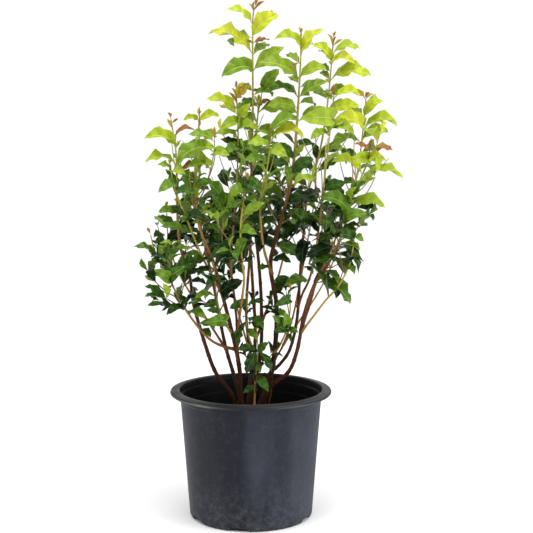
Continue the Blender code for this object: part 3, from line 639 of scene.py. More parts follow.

# Leaves that the front shows one by one, on the shoot or twig named. A row gives the node's
# distance from the tip, where the leaf ends (x, y, z), all in millimetres, how far its rib arches
# off its chord in hundredths of the chord, how many degrees its face turns to the front, its tint.
# This table is the output of a scratch program, in all but 3 of its 259 rows. The program worked the rows
# out from places read by eye in the photo's pixels, through the fitted camera.
# A tint was chosen by how light the leaf looks, so it holds painted light and shade besides the leaf's own
# colour.
SEEN_LEAVES = """
stem_centre: 10 -2 3 880 8 49 B, 8 25 -4 881 7 48 B, 8 8 2 883 8 51 B, 32 -40 -10 870 18 28 L,
    33 37 44 867 9 24 L, 52 51 -9 851 34 66 L, 53 -33 51 803 22 20 F, 63 -7 -8 818 5 48 B,
    63 32 28 820 6 25 B, 80 -72 -15 819 22 33 L, 83 35 39 811 15 34 F, 108 55 -8 810 11 68 F,
    113 -52 -31 763 34 48 F, 106 -26 37 785 4 24 B, 143 -18 33 743 10 44 F, 150 34 35 726 29 34 F,
    177 -28 41 702 21 34 F, 214 -24 -30 680 7 45 M, 241 41 43 640 30 40 M, 258 -52 -8 651 13 38 D,
    272 -57 -8 626 10 42 M, 263 6 8 661 11 76 M, 290 65 -9 618 23 33 D, 292 49 -37 592 18 33 D;
stem_right_inner: 359 86 -59 445 18 47 M, 400 14 -45 431 22 47 D, 420 65 -30 423 11 76 D,
    386 66 -56 446 18 43 D, 9 76 -21 827 11 66 B, 9 86 -21 830 14 75 B, 29 39 -35 821 31 30 L,
    32 104 3 812 5 30 L, 40 123 -38 831 19 38 L, 47 69 -42 767 4 30 B, 49 58 9 794 4 38 F,
    75 13 -39 783 19 43 F, 73 127 -35 762 34 58 F, 82 62 -1 752 24 45 F, 105 127 -59 752 7 53 F,
    105 27 -38 726 29 34 M, 115 106 -1 710 29 43 M, 123 26 -38 711 19 53 F, 145 117 11 683 22 38 F,
    88 114 9 742 9 36 F, 155 50 3 673 20 51 M, 209 47 -36 647 11 65 D, 208 91 -35 647 13 60 F,
    232 108 -37 615 34 75 D, 256 56 -26 610 12 60 F;
stem_middle: 290 -57 28 431 17 28 D, 0 45 20 774 29 76 F, 1 3 47 736 7 60 M, 26 35 15 720 4 39 B,
    29 -13 65 707 31 42 M, 37 81 23 705 22 44 F, 53 -24 0 687 19 42 F, 77 48 2 656 28 36 M;
stem_right: 423 30 15 378 15 38 D, 17 132 30 832 6 39 B, 14 158 27 820 10 62 B, 15 148 30 827 7 44 B,
    30 186 20 810 25 30 L, 38 119 60 802 15 26 L, 48 101 18 808 30 42 L, 51 173 -2 774 34 36 L,
    74 206 14 767 22 35 L, 78 127 16 756 6 57 B, 72 119 58 767 5 48 F, 92 168 23 739 27 64 F,
    58 115 62 776 9 40 M, 106 101 74 735 16 33 F, 103 163 -2 735 4 36 F, 122 172 67 700 20 34 F,
    132 88 22 700 34 68 F, 153 163 61 666 27 36 M, 332 64 20 534 31 48 M, 332 127 20 532 7 48 D,
    393 50 -12 472 7 38 M;
bough_right_fork: 302 128 -17 474 11 76 M, 333 59 -46 406 12 54 M, 253 137 -61 487 17 51 D,
    10 137 -58 742 7 45 B, 12 125 -43 729 5 41 B, 16 179 -69 718 34 40 L, 18 112 -32 723 25 38 F,
    36 178 -68 711 30 59 L, 53 80 -103 697 34 67 F, 72 154 -85 677 34 59 F, 169 156 -58 588 24 62 D,
    77 100 -85 650 30 48 F, 66 165 -86 658 34 56 F;
bough_right_side: 311 152 -42 414 10 29 M, 3 160 28 734 21 27 B, 1 216 56 728 4 33 B,
    1 199 38 731 11 76 B, 18 226 64 709 31 48 L, 34 229 27 712 34 61 L, 34 159 78 704 14 28 F,
    56 251 23 668 34 37 L, 60 137 7 688 34 43 L, 75 238 24 658 34 52 F, 77 133 2 641 18 29 F,
    97 221 63 624 34 45 M, 103 162 65 620 34 51 M;
stem_right_outer: 10 235 -60 634 16 35 B, 13 171 -58 647 16 36 B, 8 201 -50 654 9 57 B,
    32 224 -88 627 22 42 L, 33 157 -85 622 34 56 L, 53 251 -68 587 20 22 L, 54 133 -65 612 30 37 L,
    71 206 -30 583 33 62 F, 73 159 -27 578 34 49 M, 103 189 -99 590 4 36 M, 108 172 -89 580 4 37 F,
    111 223 -64 545 29 45 F, 125 115 -65 565 34 52 M, 125 123 -14 538 14 49 D, 138 191 -88 526 34 72 M,
    142 182 -73 510 4 36 D, 139 174 -89 495 8 76 D, 180 182 -95 474 10 21 F, 195 190 -62 452 12 29 D,
    205 170 -89 432 16 32 M, 170 181 -72 433 9 27 D, 229 147 -89 417 4 27 M, 253 171 -59 384 25 35 M;
bough_right_low: 12 135 -94 505 33 63 D, 8 188 -101 491 25 43 M;
stem_thin_right: 235 112 54 415 7 41 D, 16 91 130 636 34 55 D, 34 174 113 629 23 35 M,
    66 160 104 617 9 55 M, 44 113 103 646 18 71 D, 48 155 90 642 6 38 M, 64 86 137 600 34 53 D;
bough_left_upright: 17 -31 7 740 8 52 B, 27 -36 -2 733 8 50 B, 17 -14 7 750 11 65 L, 18 1 -24 745 6 56 B,
    37 -75 -12 722 21 41 L, 34 15 35 712 10 38 M, 45 -56 37 707 10 27 L, 55 -2 -35 715 8 76 L,
    66 -54 -37 674 34 49 F, 78 12 -36 664 34 47 F, 88 -56 -41 654 24 41 F, 108 -49 -40 632 33 47 M,
    115 12 -42 627 34 52 M;
bough_middle_front: 9 32 -68 674 9 57 B, 10 12 -76 672 34 59 F, 10 82 -78 679 32 46 F,
    18 86 -81 651 33 37 L, 32 -2 -107 639 25 50 F, 35 65 -107 633 25 50 F, 57 -7 -107 612 25 50 M,
    99 -6 -74 592 8 55 M, 109 43 -71 586 7 49 F, 177 9 -47 531 11 76 D;
stem_left_outer: 260 -103 -25 467 11 76 M, 265 -87 -25 463 11 76 M, 19 -139 -13 688 11 76 B,
    9 -120 -14 687 11 76 B, 36 -93 -15 668 30 21 B, 34 -152 7 660 10 35 L, 54 -177 -32 659 33 41 L,
    55 -118 2 651 4 40 L, 83 -167 -67 610 22 24 L, 92 -80 -32 607 14 23 B, 80 -71 -33 604 31 35 F,
    137 -145 -24 603 6 39 M, 110 -90 15 578 23 31 D, 162 -155 -33 535 31 59 M, 191 -158 -25 523 7 44 D,
    200 -89 10 494 20 33 D;
twig_left_middle: 8 -102 -76 663 18 40 F, 4 -57 -64 675 11 76 B, 24 -122 -79 615 34 41 F,
    29 -32 -96 632 28 56 F, 54 -98 -103 602 22 42 F;
stem_left_inner: 235 -90 -77 442 24 38 D, 247 -90 -81 430 15 25 D, 39 -55 -83 643 29 51 F,
    64 -61 -80 607 34 69 F, 94 -117 -86 591 22 48 M, 134 -117 -56 592 8 50 M, 131 -77 -56 591 6 38 F,
    99 -62 -64 579 34 76 M, 169 -67 -63 549 6 36 F, 154 -116 -86 519 21 36 M;
stem_back_left: 6 -87 97 709 7 40 B, 13 -119 90 686 31 46 L, 17 -54 89 686 34 50 L, 42 -66 129 656 28 55 F;
bough_left_side: 12 -150 -95 608 23 41 F, 15 -101 -99 602 23 33 F, 38 -153 -104 573 34 52 M,
    53 -94 -98 561 34 56 M, 90 -133 -68 544 11 76 D, 120 -148 -77 509 12 41 M, 99 -74 -97 517 34 56 D;
bough_left_low: 41 -193 -82 480 18 32 M, 41 -155 -70 505 8 50 D, 49 -165 -92 467 6 55 D,
    44 -139 -39 485 4 30 D, 81 -155 -101 449 34 76 M, 81 -109 -99 453 26 76 M, 80 -116 -38 448 4 32 D,
    78 -154 -41 441 4 37 D, 145 -137 -86 362 29 49 D, 146 -77 -91 358 17 46 M, 142 -122 -86 397 5 41 D,
    140 -96 -24 393 11 22 D, 175 -56 -88 344 4 36 M, 184 -68 -73 324 15 49 D;
bough_back_left_low: 39 -177 132 510 5 40 F, 76 -126 120 458 34 76 M;
bough_low_left: 16 -77 -86 417 34 58 D, 45 -90 -98 394 4 30 M, 54 -79 -86 380 14 76 D,
    72 -73 -75 370 11 76 D, 98 -78 -79 357 34 67 M;
bough_low_middle: 15 -37 -50 375 31 76 D, 20 19 -60 383 7 38 D, 41 20 -67 337 14 45 D,
    49 22 -68 332 4 36 D, 60 12 -54 319 8 76 M, 45 -18 -57 308 6 43 D;
bough_low_right: 18 39 -72 383 34 73 D, 50 43 -21 353 27 54 M, 71 55 -70 367 8 76 M, 74 34 -70 359 8 65 M,
    70 36 -61 337 34 76 D, 71 81 -65 333 9 60 M, 77 68 -60 315 5 47 D;
stem_low_front: 33 -23 -67 301 7 56 D, 33 37 -51 263 10 60 D, 33 -10 -51 260 17 76 D,
    36 29 -68 318 8 73 D, 53 17 -63 262 8 76 D, 76 32 -70 233 9 76 D, 97 -12 -61 226 8 76 D;
twig_low_left: 0 -176 -86 412 6 39 D, 0 -145 -102 419 5 49 F, 0 -176 -85 395 6 35 M,
    0 -130 -57 413 7 30 D, 29 -117 -28 409 5 43 M;
twig_left_front: 3 -79 -95 593 14 33 M, 3 -1 -93 585 12 37 F, 8 -65 -77 561 11 76 M,
    39 -32 -72 538 34 76 F, 50 -71 -102 514 5 40 M;
bough_front: 136 -17 -113 438 16 43 D, 61 22 -118 556 11 67 F, 20 -34 -139 581 19 56 M,
    39 -40 -116 549 34 76 M, 87 12 -133 507 30 57 M, 11 18 -136 578 30 64 D;
bough_back_low: 8 -8 136 511 27 76 D
"""
TINT_LETTERS = {"B": Tint.BRONZE, "L": Tint.LIME, "F": Tint.FRESH, "M": Tint.MID, "D": Tint.DARK}


@dataclass(frozen=True)
class SeenLeaf:
    """One row of SEEN_LEAVES."""

    from_tip: float
    end: Vector
    arch: float
    roll: float
    tint: Tint


def read_seen() -> dict[str, list[SeenLeaf]]:
    """Read the rows of SEEN_LEAVES.

    Returns:
        The leaves by the name of their shoot or twig.
    """
    found = {}
    for part in SEEN_LEAVES.split(";"):
        name, text = part.split(":")
        found[name.strip()] = leaves = []
        for row in text.split(","):
            *numbers, letter = row.split()
            from_tip, x, y, z, arch, roll = map(int, numbers)
            leaves.append(SeenLeaf(from_tip * MM, Vector((x, y, z)) * MM, arch / 100,
                                   math.radians(roll), TINT_LETTERS[letter]))
    return found


SEEN = read_seen()

# Openings through which the front shows the background: middle (x, z) and radius, in millimetres.
# 25 of the 29 middles and 10 of their radii stand as a scratch program measured them in the photo.
OPENINGS = rows(
    "135 375 23, -87 692 22, 101 675 15, -113 690 12, 110 790 12, 222 585 12, -21 797 11, 166 595 11, "
    "160 420 12, 38 693 12, -1 414 10, 94 692 10, 62 754 12, -105 607 10, 148 431 9, -113 658 10, "
    "94 720 9, 140 600 9, -135 384 11, -147 407 8, 111 661 8, -38 672 7, -155 607 8, -116 606 7, "
    "62 367 14, -5 434 10, -25 421 6, -60 300 14, -47 272 18")


@dataclass(frozen=True)
class GrowthRule:
    """The named sizes and shares that twigs and leaves grow by, in metres and radians."""

    curve_steps: int = 24
    line_step: float = 1 * MM
    flare: float = 0.35
    flare_height: float = 9 * MM
    tip_radius: float = 0.9 * MM
    taper_power: float = 0.8
    leader_step: float = 34 * MM
    twig_step: float = 26 * MM
    twig_radius: float = 1.1 * MM
    twig_tip_radius: float = 0.7 * MM
    twig_lengths: Span = (50 * MM, 95 * MM)
    twig_angle: float = math.radians(52)
    twig_swing: float = 0.4
    twig_chance: float = 0.62
    young_twig: float = 0.5
    twig_rise: float = 0.28
    twig_wander: float = 0.12
    twig_ceiling: float = 620 * MM
    twig_from_tip: float = 45 * MM
    leaf_length: float = 68 * MM
    tip_leaf_length: float = 24 * MM
    leaf_width_share: float = 0.42
    leaf_thickness: float = 1.5 * MM
    leaf_middle: float = 0.48
    leaf_rise: float = 0.07
    leaf_arch: float = 0.24
    leaf_root: float = 0.4 * MM
    leaf_droops: Span = (-0.3, 0.16)
    shade_droop: float = 0.14
    shade_heights: Span = (700 * MM, 450 * MM)
    leaf_lean: float = 0.4
    leaf_roll: float = 0.75
    leaf_fold: float = 0.16
    leaf_chance: float = 0.9
    sure_to: float = 30 * MM
    leaf_sizes: Span = (0.84, 1.12)
    young_stretch: float = 52 * MM
    first_node: float = 3 * MM
    bare_foot: float = 6 * MM
    pair_turn: float = 0.7
    node_spacings: Span = (11 * MM, 25 * MM)
    open_angles: Span = (math.radians(30), math.radians(70))
    reach: float = 105 * MM
    depth_share: float = 0.94
    shared_margin: float = 16 * MM
    sample_step: float = 8 * MM
    neighbours: int = 60
    test_clearance: float = 0.5 * MM
    test_start: float = 0.2
    tries: int = 5
    leaf_swings: Span = (0.3, 0.6)
    open_swings: Span = (0.2, 0.4)
    try_shrink: float = 0.12
    space_share: float = 0.55
    seed: int = 4
    finer_chance: float = 0.24
    finer_lengths: Span = (22 * MM, 46 * MM)
    finer_angle: float = 0.75
    finer_girth: float = 0.7
    finer_leaf_scale: float = 0.8
    finer_ceiling: float = 560 * MM
    thinned_heights: Span = (470 * MM, 590 * MM)
    thinned_shares: Span = (0.02, 0.86)
    seen_margin: float = 9 * MM
    seen_start: float = 0.15
    seen_twig_step: int = 12
    seen_twig_taper: Span = (1.2, 0.6)
    opening_shares: Triple = (0.3, 0.6, 0.95)
    eye: Triple = (0.0, -2.10, 0.6923)


RULE = GrowthRule()

# The crown's outline as the front shows it: height, then how far it reaches left and right. It was
# set by hand close to the outline that a scratch program measured in the photo.
CROWN_OUTLINE = tuple(tuple(value * MM for value in row) for row in rows(
    "190 45 55, 255 60 70, 300 90 90, 340 146 100, 380 190 180, 425 176 196, 470 212 196, "
    "505 172 198, 550 160 226, 590 158 264, 630 170 250, 672 188 250, 712 108 236, 750 78 214, "
    "800 72 192, 830 80 154, 862 52 62, 890 32 42"))


def path_length(points: Sequence[Vector]) -> float:
    """The length of the line through some points."""
    return sum((b - a).length for a, b in zip(points, points[1:]))


def curve_between(a: Vector, b: Vector, c: Vector, d: Vector, t: float) -> Vector:
    """The point at a share of the way from b to c on the smooth curve through four points."""
    return 0.5 * (b * 2 + (c - a) * t + (a * 2 - b * 5 + c * 4 - d) * t * t
                  + (b * 3 - a - c * 3 + d) * t * t * t)


def smooth_line(points: Iterable[Sequence[float]]) -> list[Vector]:
    """Draw the smooth curve through some points.

    Args:
        points: The points, in millimetres.

    Returns:
        Evenly spaced points on the curve, in metres.
    """
    knots = [Vector(point) * MM for point in points]
    knots = [knots[0] * 2 - knots[1]] + knots + [knots[-1] * 2 - knots[-2]]
    fine = [curve_between(*four, i / RULE.curve_steps)
            for four in zip(knots, knots[1:], knots[2:], knots[3:]) for i in range(RULE.curve_steps)]
    fine.append(knots[-2])
    lengths = [0.0]
    for a, b in zip(fine, fine[1:]):
        lengths.append(lengths[-1] + (b - a).length)
    line = []
    at = 0
    for wanted in spaced(0.0, lengths[-1], round(lengths[-1] / RULE.line_step)):
        while at < len(fine) - 2 and lengths[at + 1] < wanted:
            at += 1
        share = (wanted - lengths[at]) / max(lengths[at + 1] - lengths[at], 1e-9)
        line.append(fine[at].lerp(fine[at + 1], min(max(share, 0.0), 1.0)))
    return line


class ShootLine:
    """A shoot's centre line, measured by the distance from its foot."""

    def __init__(self, shoot: Shoot) -> None:
        """Draw the line of one shoot.

        Args:
            shoot: The shoot.
        """
        self.shoot = shoot
        self.flared = not shoot.parent
        lift = UP * GAP if self.flared else Vector()
        self.points = [point + lift for point in smooth_line(rows(shoot.path))]
        self.length = path_length(self.points)
        self.step = self.length / (len(self.points) - 1)
        entry = shoot.leaves_from * MM
        self.entry = next((index * self.step for index, point in enumerate(self.points)
                           if point.z >= entry), self.length)

    def at(self, distance: float) -> Vector:
        """Find a point on the line.

        Args:
            distance: The distance from its foot.

        Returns:
            The point.
        """
        place = min(max(distance / self.step, 0.0), len(self.points) - 1.001)
        index = int(place)
        return self.points[index].lerp(self.points[index + 1], place - index)

    def along(self, distance: float) -> Vector:
        """The direction at a distance from the foot."""
        return (self.at(distance + 3 * MM) - self.at(distance - 3 * MM)).normalized()

    def radius(self, distance: float) -> float:
        """Find the radius, which tapers, and flares where the line leaves the soil.

        Args:
            distance: The distance from its foot.

        Returns:
            The radius there.
        """
        left = 1 - min(max(distance / self.length, 0.0), 1.0)
        foot = self.shoot.radius * MM
        radius = RULE.tip_radius + (foot - RULE.tip_radius) * left ** RULE.taper_power
        if self.flared:
            radius *= 1 + RULE.flare * math.exp(-max(distance, 0.0) / RULE.flare_height)
        return radius


def tree_of(points: Iterable[Vector], faces: Iterable[Sequence[int]]) -> BVHTree:
    """A search tree of one solid, for its overlaps with others."""
    return BVHTree.FromPolygons([tuple(point) for point in points], [tuple(f) for f in faces])


def leaning(direction: Vector, turn: float, angle: float) -> Vector:
    """Lean a direction over to one side, as a twig or leaf leaves its stem.

    Args:
        direction: The stem's direction.
        turn: The side, as an angle round the stem, measured from +X.
        angle: How far it leans, in radians.

    Returns:
        The new direction.
    """
    side = direction.cross(Vector((0, 1, 0))).normalized()
    out = side * math.cos(turn) + direction.cross(side).normalized() * math.sin(turn)
    return direction * math.cos(angle) + out * math.sin(angle)


def outline_share(point: Vector) -> float:
    """Find how far out a point is in the crown's outline, an uneven oval at each height.

    Args:
        point: The point.

    Returns:
        0 in the middle, 1 on the outline, and 2 where the crown doesn't reach.
    """
    for low, high in zip(CROWN_OUTLINE, CROWN_OUTLINE[1:]):
        if low[0] <= point.z <= high[0]:
            share = (point.z - low[0]) / (high[0] - low[0])
            left, right = (a + (b - a) * share for a, b in zip(low[1:], high[1:]))
            depth = RULE.depth_share * (left + right) / 2
            return math.hypot(point.x / (left if point.x < 0 else right), point.y / depth)
    return 2.0


def in_opening(point: Vector) -> bool:
    """Find whether a point, seen from the front, lies in one of the openings.

    Args:
        point: The point.

    Returns:
        True where it does.
    """
    eye = Vector(RULE.eye)
    share = -eye.y / (point.y - eye.y)
    x = point.x * share
    z = eye.z + (point.z - eye.z) * share
    return any(math.hypot(x - a * MM, z - b * MM) < size * MM for a, b, size in OPENINGS)


@dataclass
class Twig:
    """A twig as a line of points with radii. Order 0 is a leader, 1 a side twig, 2 a finer one."""

    points: list[Vector]
    radii: list[float]
    order: int = 1

    def solid(self, first: int = 0, swell: float = 0.0) -> Solid:
        """Give the twig three sides, for the room that it takes.

        Args:
            first: The number of the point to start at.
            swell: How much thicker than the twig the solid is.

        Returns:
            Its points and faces.
        """
        points = self.points[first:]
        corners = []
        for index, (point, radius) in enumerate(zip(points, self.radii[first:])):
            before = points[max(index - 1, 0)]
            after = points[min(index + 1, len(points) - 1)]
            direction = (after - before).normalized()
            side = direction.cross(Vector((1, 0, 0))).normalized()
            other = side.cross(direction).normalized()
            for turn in (math.tau * i / 3 for i in range(3)):
                corners.append(point + (radius + swell) * (math.cos(turn) * other
                                                           + math.sin(turn) * side))
        top = len(corners) - 3
        faces = [(2, 1, 0)]
        for low in range(0, top, 3):
            for i, j in ((0, 1), (1, 2), (2, 0)):
                faces.append((low + i, low + j, low + 3 + j, low + 3 + i))
        faces.append((top, top + 1, top + 2))
        return corners, faces


@dataclass
class Leaf:
    """One leaf: where it grows from, which way, how large, and how far from its shoot's tip."""

    base: Vector
    along: Vector
    normal: Vector
    length: float
    order: int
    from_tip: float
    form: Optional[int] = None
    tint: Optional[Tint] = None

    def solid(self, start: float = 0.0, swell: float = 0.0) -> Solid:
        """Give the leaf eight faces, for the room that it takes.

        Args:
            start: The share of its length at which the solid starts.
            swell: How much larger than the leaf the solid is.

        Returns:
            Its points and faces.
        """
        side = self.along.cross(self.normal).normalized()
        half_width = self.length * RULE.leaf_width_share / 2 + swell
        half_thickness = RULE.leaf_thickness / 2 + swell
        root = self.base + self.along * (self.length * start)
        middle = self.base + self.along * (self.length * RULE.leaf_middle)
        middle += self.normal * (self.length * RULE.leaf_rise)
        tip = self.base + self.along * (self.length + swell) - self.normal * (
            self.length * RULE.leaf_arch)
        raised = self.normal * (half_width * RULE.leaf_fold * 2)
        points = [root, middle + side * half_width + raised, middle - side * half_width + raised,
                  tip, middle + self.normal * half_thickness, middle - self.normal * half_thickness]
        faces = [(0, 1, 4), (0, 4, 2), (3, 4, 1), (3, 2, 4),
                 (0, 5, 1), (0, 2, 5), (3, 1, 5), (3, 5, 2)]
        return points, faces

    def turn(self) -> Quaternion:
        """The turn that lays a leaf's rib from +X along it and its face from +Z to its normal."""
        side = self.normal.cross(self.along)
        return Matrix((self.along, side, self.normal)).transposed().to_quaternion()


@dataclass
class Mass:
    """One mass of foliage: its leader first, its side twigs, and its leaves."""

    shoot: Shoot
    twigs: list[Twig]
    leaves: list[Leaf]


def nodes_down(length: float) -> list[float]:
    """Find where a shoot's leaf pairs stand, closer at its young end.

    Args:
        length: The shoot's length.

    Returns:
        Their distances from its tip.
    """
    distance = RULE.first_node
    nodes = []
    while distance < length - RULE.bare_foot:
        nodes.append(distance)
        distance += blend(distance / RULE.young_stretch, *RULE.node_spacings)
    return nodes


def point_from_tip(points: list[Vector], from_tip: float) -> tuple[Vector, Vector]:
    """Find a place on a twig.

    Args:
        points: The twig's points.
        from_tip: The distance back from its tip.

    Returns:
        The point and the twig's direction there.
    """
    left = from_tip
    for low, high in zip(points[-2::-1], points[:0:-1]):
        length = (high - low).length
        if left <= length or low is points[0]:
            break
        left -= length
    heading = (high - low).normalized()
    return high - heading * left, heading


def seen_leaf(base: Vector, seen: SeenLeaf, order: int) -> Leaf:
    """Lay one leaf that the front shows between its node and its tip.

    Args:
        base: The node.
        seen: Where the leaf ends, how it arches and turns, and its tint.
        order: The order of its twig.

    Returns:
        The leaf, with its form and tint chosen.
    """
    chord = seen.end - base
    direction = chord.normalized()
    view = (Vector(RULE.eye) - base).normalized()
    up = view.cross(direction).normalized()
    up = up if up.z > 0 else -up
    facing = (view - direction * view.dot(direction)).normalized()
    normal = up * math.cos(seen.roll) + facing * math.sin(seen.roll)
    young = chord.length < RULE.tip_leaf_length * 1.1
    choice = range(len(GROWN_FORMS), len(ALL_FORMS)) if young else range(len(GROWN_FORMS))
    number = min(choice, key=lambda index: abs(ALL_FORMS[index].chord()[2] - seen.arch))
    length, tilt, _ = ALL_FORMS[number].chord()
    along = direction * math.cos(tilt) - normal * math.sin(tilt)
    normal = direction * math.sin(tilt) + normal * math.cos(tilt)
    return Leaf(base, along, normal, chord.length / length, order, seen.from_tip, number,
                seen.tint)


class Crown:
    """All the foliage as it grows, with the room that is already taken."""

    def __init__(self, lines: dict[str, ShootLine], limbs: Iterable[BVHTree]) -> None:
        """Measure the room that each shoot's foliage may take.

        Args:
            lines: The shoots' lines.
            limbs: The solids of stems and boughs, which leaves keep clear of.
        """
        self.lines = lines
        self.taken: list[tuple[str, BVHTree]] = [("limbs", tree) for tree in limbs]
        self.samples: list[tuple[Vector, str]] = []
        for name, line in lines.items():
            count = int((line.length - line.entry) / RULE.sample_step)
            self.samples += [(line.at(stop), name) for stop in spaced(line.entry, line.length, count)]
        self.finder = KDTree(len(self.samples))
        for index, (point, _) in enumerate(self.samples):
            self.finder.insert(point, index)
        self.finder.balance()

    def in_own_space(self, point: Vector, name: str) -> bool:
        """Find whether a point is near enough to its own leader, compared with all others.

        Args:
            point: The point.
            name: The name of its shoot.

        Returns:
            True where it is.
        """
        near = self.finder.find_n(point, RULE.neighbours)
        own = next((distance for _, index, distance in near if self.samples[index][1] == name), None)
        return own is not None and own <= near[0][2] + RULE.shared_margin and own <= RULE.reach

    def is_free(self, solid: Solid, short_solid: Solid, name: str) -> bool:
        """Find whether a solid touches no limb and no other mass, nor, past its root, its own.

        Args:
            solid: The solid.
            short_solid: The same without its root.
            name: The name of its shoot.

        Returns:
            True where it touches nothing.
        """
        tree = tree_of(*solid)
        short_tree = tree_of(*short_solid)
        return not any((short_tree if owner == name else tree).overlap(other)
                       for owner, other in self.taken)

    def take(self, mass: Mass, part: Union[Twig, Leaf]) -> None:
        """Add a twig or leaf to its mass and keep its room."""
        (mass.twigs if isinstance(part, Twig) else mass.leaves).append(part)
        self.taken.append((mass.shoot.name, tree_of(*part.solid())))

    def grow(self) -> list[Mass]:
        """Grow every mass: leaders, side twigs, leaves, and then the finer twigs with theirs.

        Returns:
            The masses, in the shoots' order.
        """
        masses = []
        for line in self.lines.values():
            start = line.entry + GAP
            stops = spaced(start, line.length,
                           max(2, round((line.length - start) / RULE.leader_step)))
            masses.append(Mass(line.shoot, [], []))
            self.take(masses[-1], Twig([line.at(s) for s in stops], [line.radius(s) for s in stops], 0))
        for index, mass in enumerate(masses):
            self.grow_side_twigs(mass, Dice(RULE.seed + index))
        for index, mass in enumerate(masses):
            dice = Dice(RULE.seed * 3 + index)
            for number, twig in enumerate(mass.twigs):
                self.grow_leaves(mass, twig, number, dice)
        dice = Dice(RULE.seed * 5)
        for mass in masses:
            mass.leaves = [leaf for leaf in mass.leaves if self.stays(mass, leaf, dice.random())]
        for mass in masses:
            self.grow_seen(mass, masses)
        for index, mass in enumerate(masses):
            self.grow_finer(mass, Dice(RULE.seed * 7 + index))
        return masses

    def stays(self, mass: Mass, leaf: Leaf, chance: float) -> bool:
        """Find whether a leaf of the rule stays: not thinned out, in an opening, or in a seen place.

        Args:
            mass: The leaf's mass.
            leaf: The leaf.
            chance: A random share, which thins the leaves more towards the open top.

        Returns:
            True where it stays.
        """
        low, high = RULE.thinned_heights
        if chance < blend((leaf.base.z - low) / (high - low), *RULE.thinned_shares):
            return False
        seen = SEEN.get(mass.shoot.name)
        if seen and leaf.order == 0:
            if leaf.from_tip < max(one.from_tip for one in seen) + RULE.seen_margin:
                return False
        return not any(in_opening(leaf.base + leaf.along * leaf.length * share)
                       for share in RULE.opening_shares)

    def grow_seen(self, mass: Mass, masses: list[Mass]) -> None:
        """Add the leaves and twigs that the front shows on a shoot, and clear those in their way.

        Args:
            mass: The shoot's mass.
            masses: All masses.
        """
        line = self.lines[mass.shoot.name]
        carriers = {mass.shoot.name: (line.points, 0)}
        for name, (shoot, from_tip, path) in SEEN_TWIGS.items():
            if shoot == mass.shoot.name:
                start = line.at(line.length - from_tip * MM)
                spots = smooth_line([tuple(start / MM), *rows(path)])
                carriers[name] = (spots, 1)
                stops = spots[::RULE.seen_twig_step] + [spots[-1]]
                thick, taper = RULE.seen_twig_taper
                radii = [RULE.twig_radius * (thick - taper * i / len(stops))
                         for i in range(len(stops))]
                mass.twigs.append(Twig(stops, radii))
        for name, (points, order) in carriers.items():
            for seen in SEEN.get(name, ()):
                leaf = seen_leaf(point_from_tip(points, seen.from_tip)[0], seen, order)
                tree = tree_of(*leaf.solid(RULE.seen_start, RULE.test_clearance))
                for other in masses:
                    other.leaves = [old for old in other.leaves if old.tint is not None
                                    or not tree.overlap(tree_of(*old.solid(RULE.seen_start)))]
                self.take(mass, leaf)

    def grow_side_twigs(self, mass: Mass, dice: Dice) -> None:
        """Grow side twigs from the axils of the older leaves of a leader.

        Args:
            mass: The leader's mass.
            dice: The source of their variation.
        """
        line = self.lines[mass.shoot.name]
        start = line.length - path_length(mass.twigs[0].points)
        for number, from_tip in enumerate(nodes_down(line.length - start)):
            distance = line.length - from_tip
            for side in range(2):
                chance = dice.random()
                length = dice.uniform(*RULE.twig_lengths) * mass.shoot.leaf_scale
                length *= blend(from_tip / RULE.young_stretch, RULE.young_twig, 1.0)
                turn = dice.uniform(-RULE.twig_swing, RULE.twig_swing) + math.pi * side
                turn += math.pi / 2 * (number % 2)
                if from_tip < RULE.twig_from_tip or chance > RULE.twig_chance:
                    continue
                if line.at(distance).z > RULE.twig_ceiling:
                    continue
                direction = leaning(line.along(distance), turn, RULE.twig_angle)
                twig = self.grow_twig(mass, line.at(distance), direction, length, dice)
                if twig:
                    self.take(mass, twig)

    def grow_twig(self, mass: Mass, base: Vector, direction: Vector, length: float,
                  dice: Dice, order: int = 1) -> Optional[Twig]:
        """Grow a twig that curves up towards the light.

        Args:
            mass: The mass that it belongs to.
            base: Where it starts, on its parent's axis.
            direction: Which way it starts.
            length: Its length.
            dice: The source of its wander.
            order: 1 for a side twig and 2 for a finer one.

        Returns:
            The twig, or nothing where it has no room.
        """
        points = [base]
        heading = direction.copy()
        count = max(2, round(length / RULE.twig_step))
        for _ in range(count):
            wander = [dice.uniform(-RULE.twig_wander, RULE.twig_wander) for _ in range(2)]
            heading = (heading + UP * RULE.twig_rise + Vector((*wander, 0))).normalized()
            points.append(points[-1] + heading * (length / count))
        twig = Twig(points, spaced(RULE.twig_radius, RULE.twig_tip_radius, count), order)
        name = mass.shoot.name
        if not self.in_own_space(points[-1], name) or outline_share(points[-1]) > 1:
            return None
        tests = twig.solid(0, RULE.test_clearance), twig.solid(1, RULE.test_clearance)
        return twig if self.is_free(*tests, name) else None

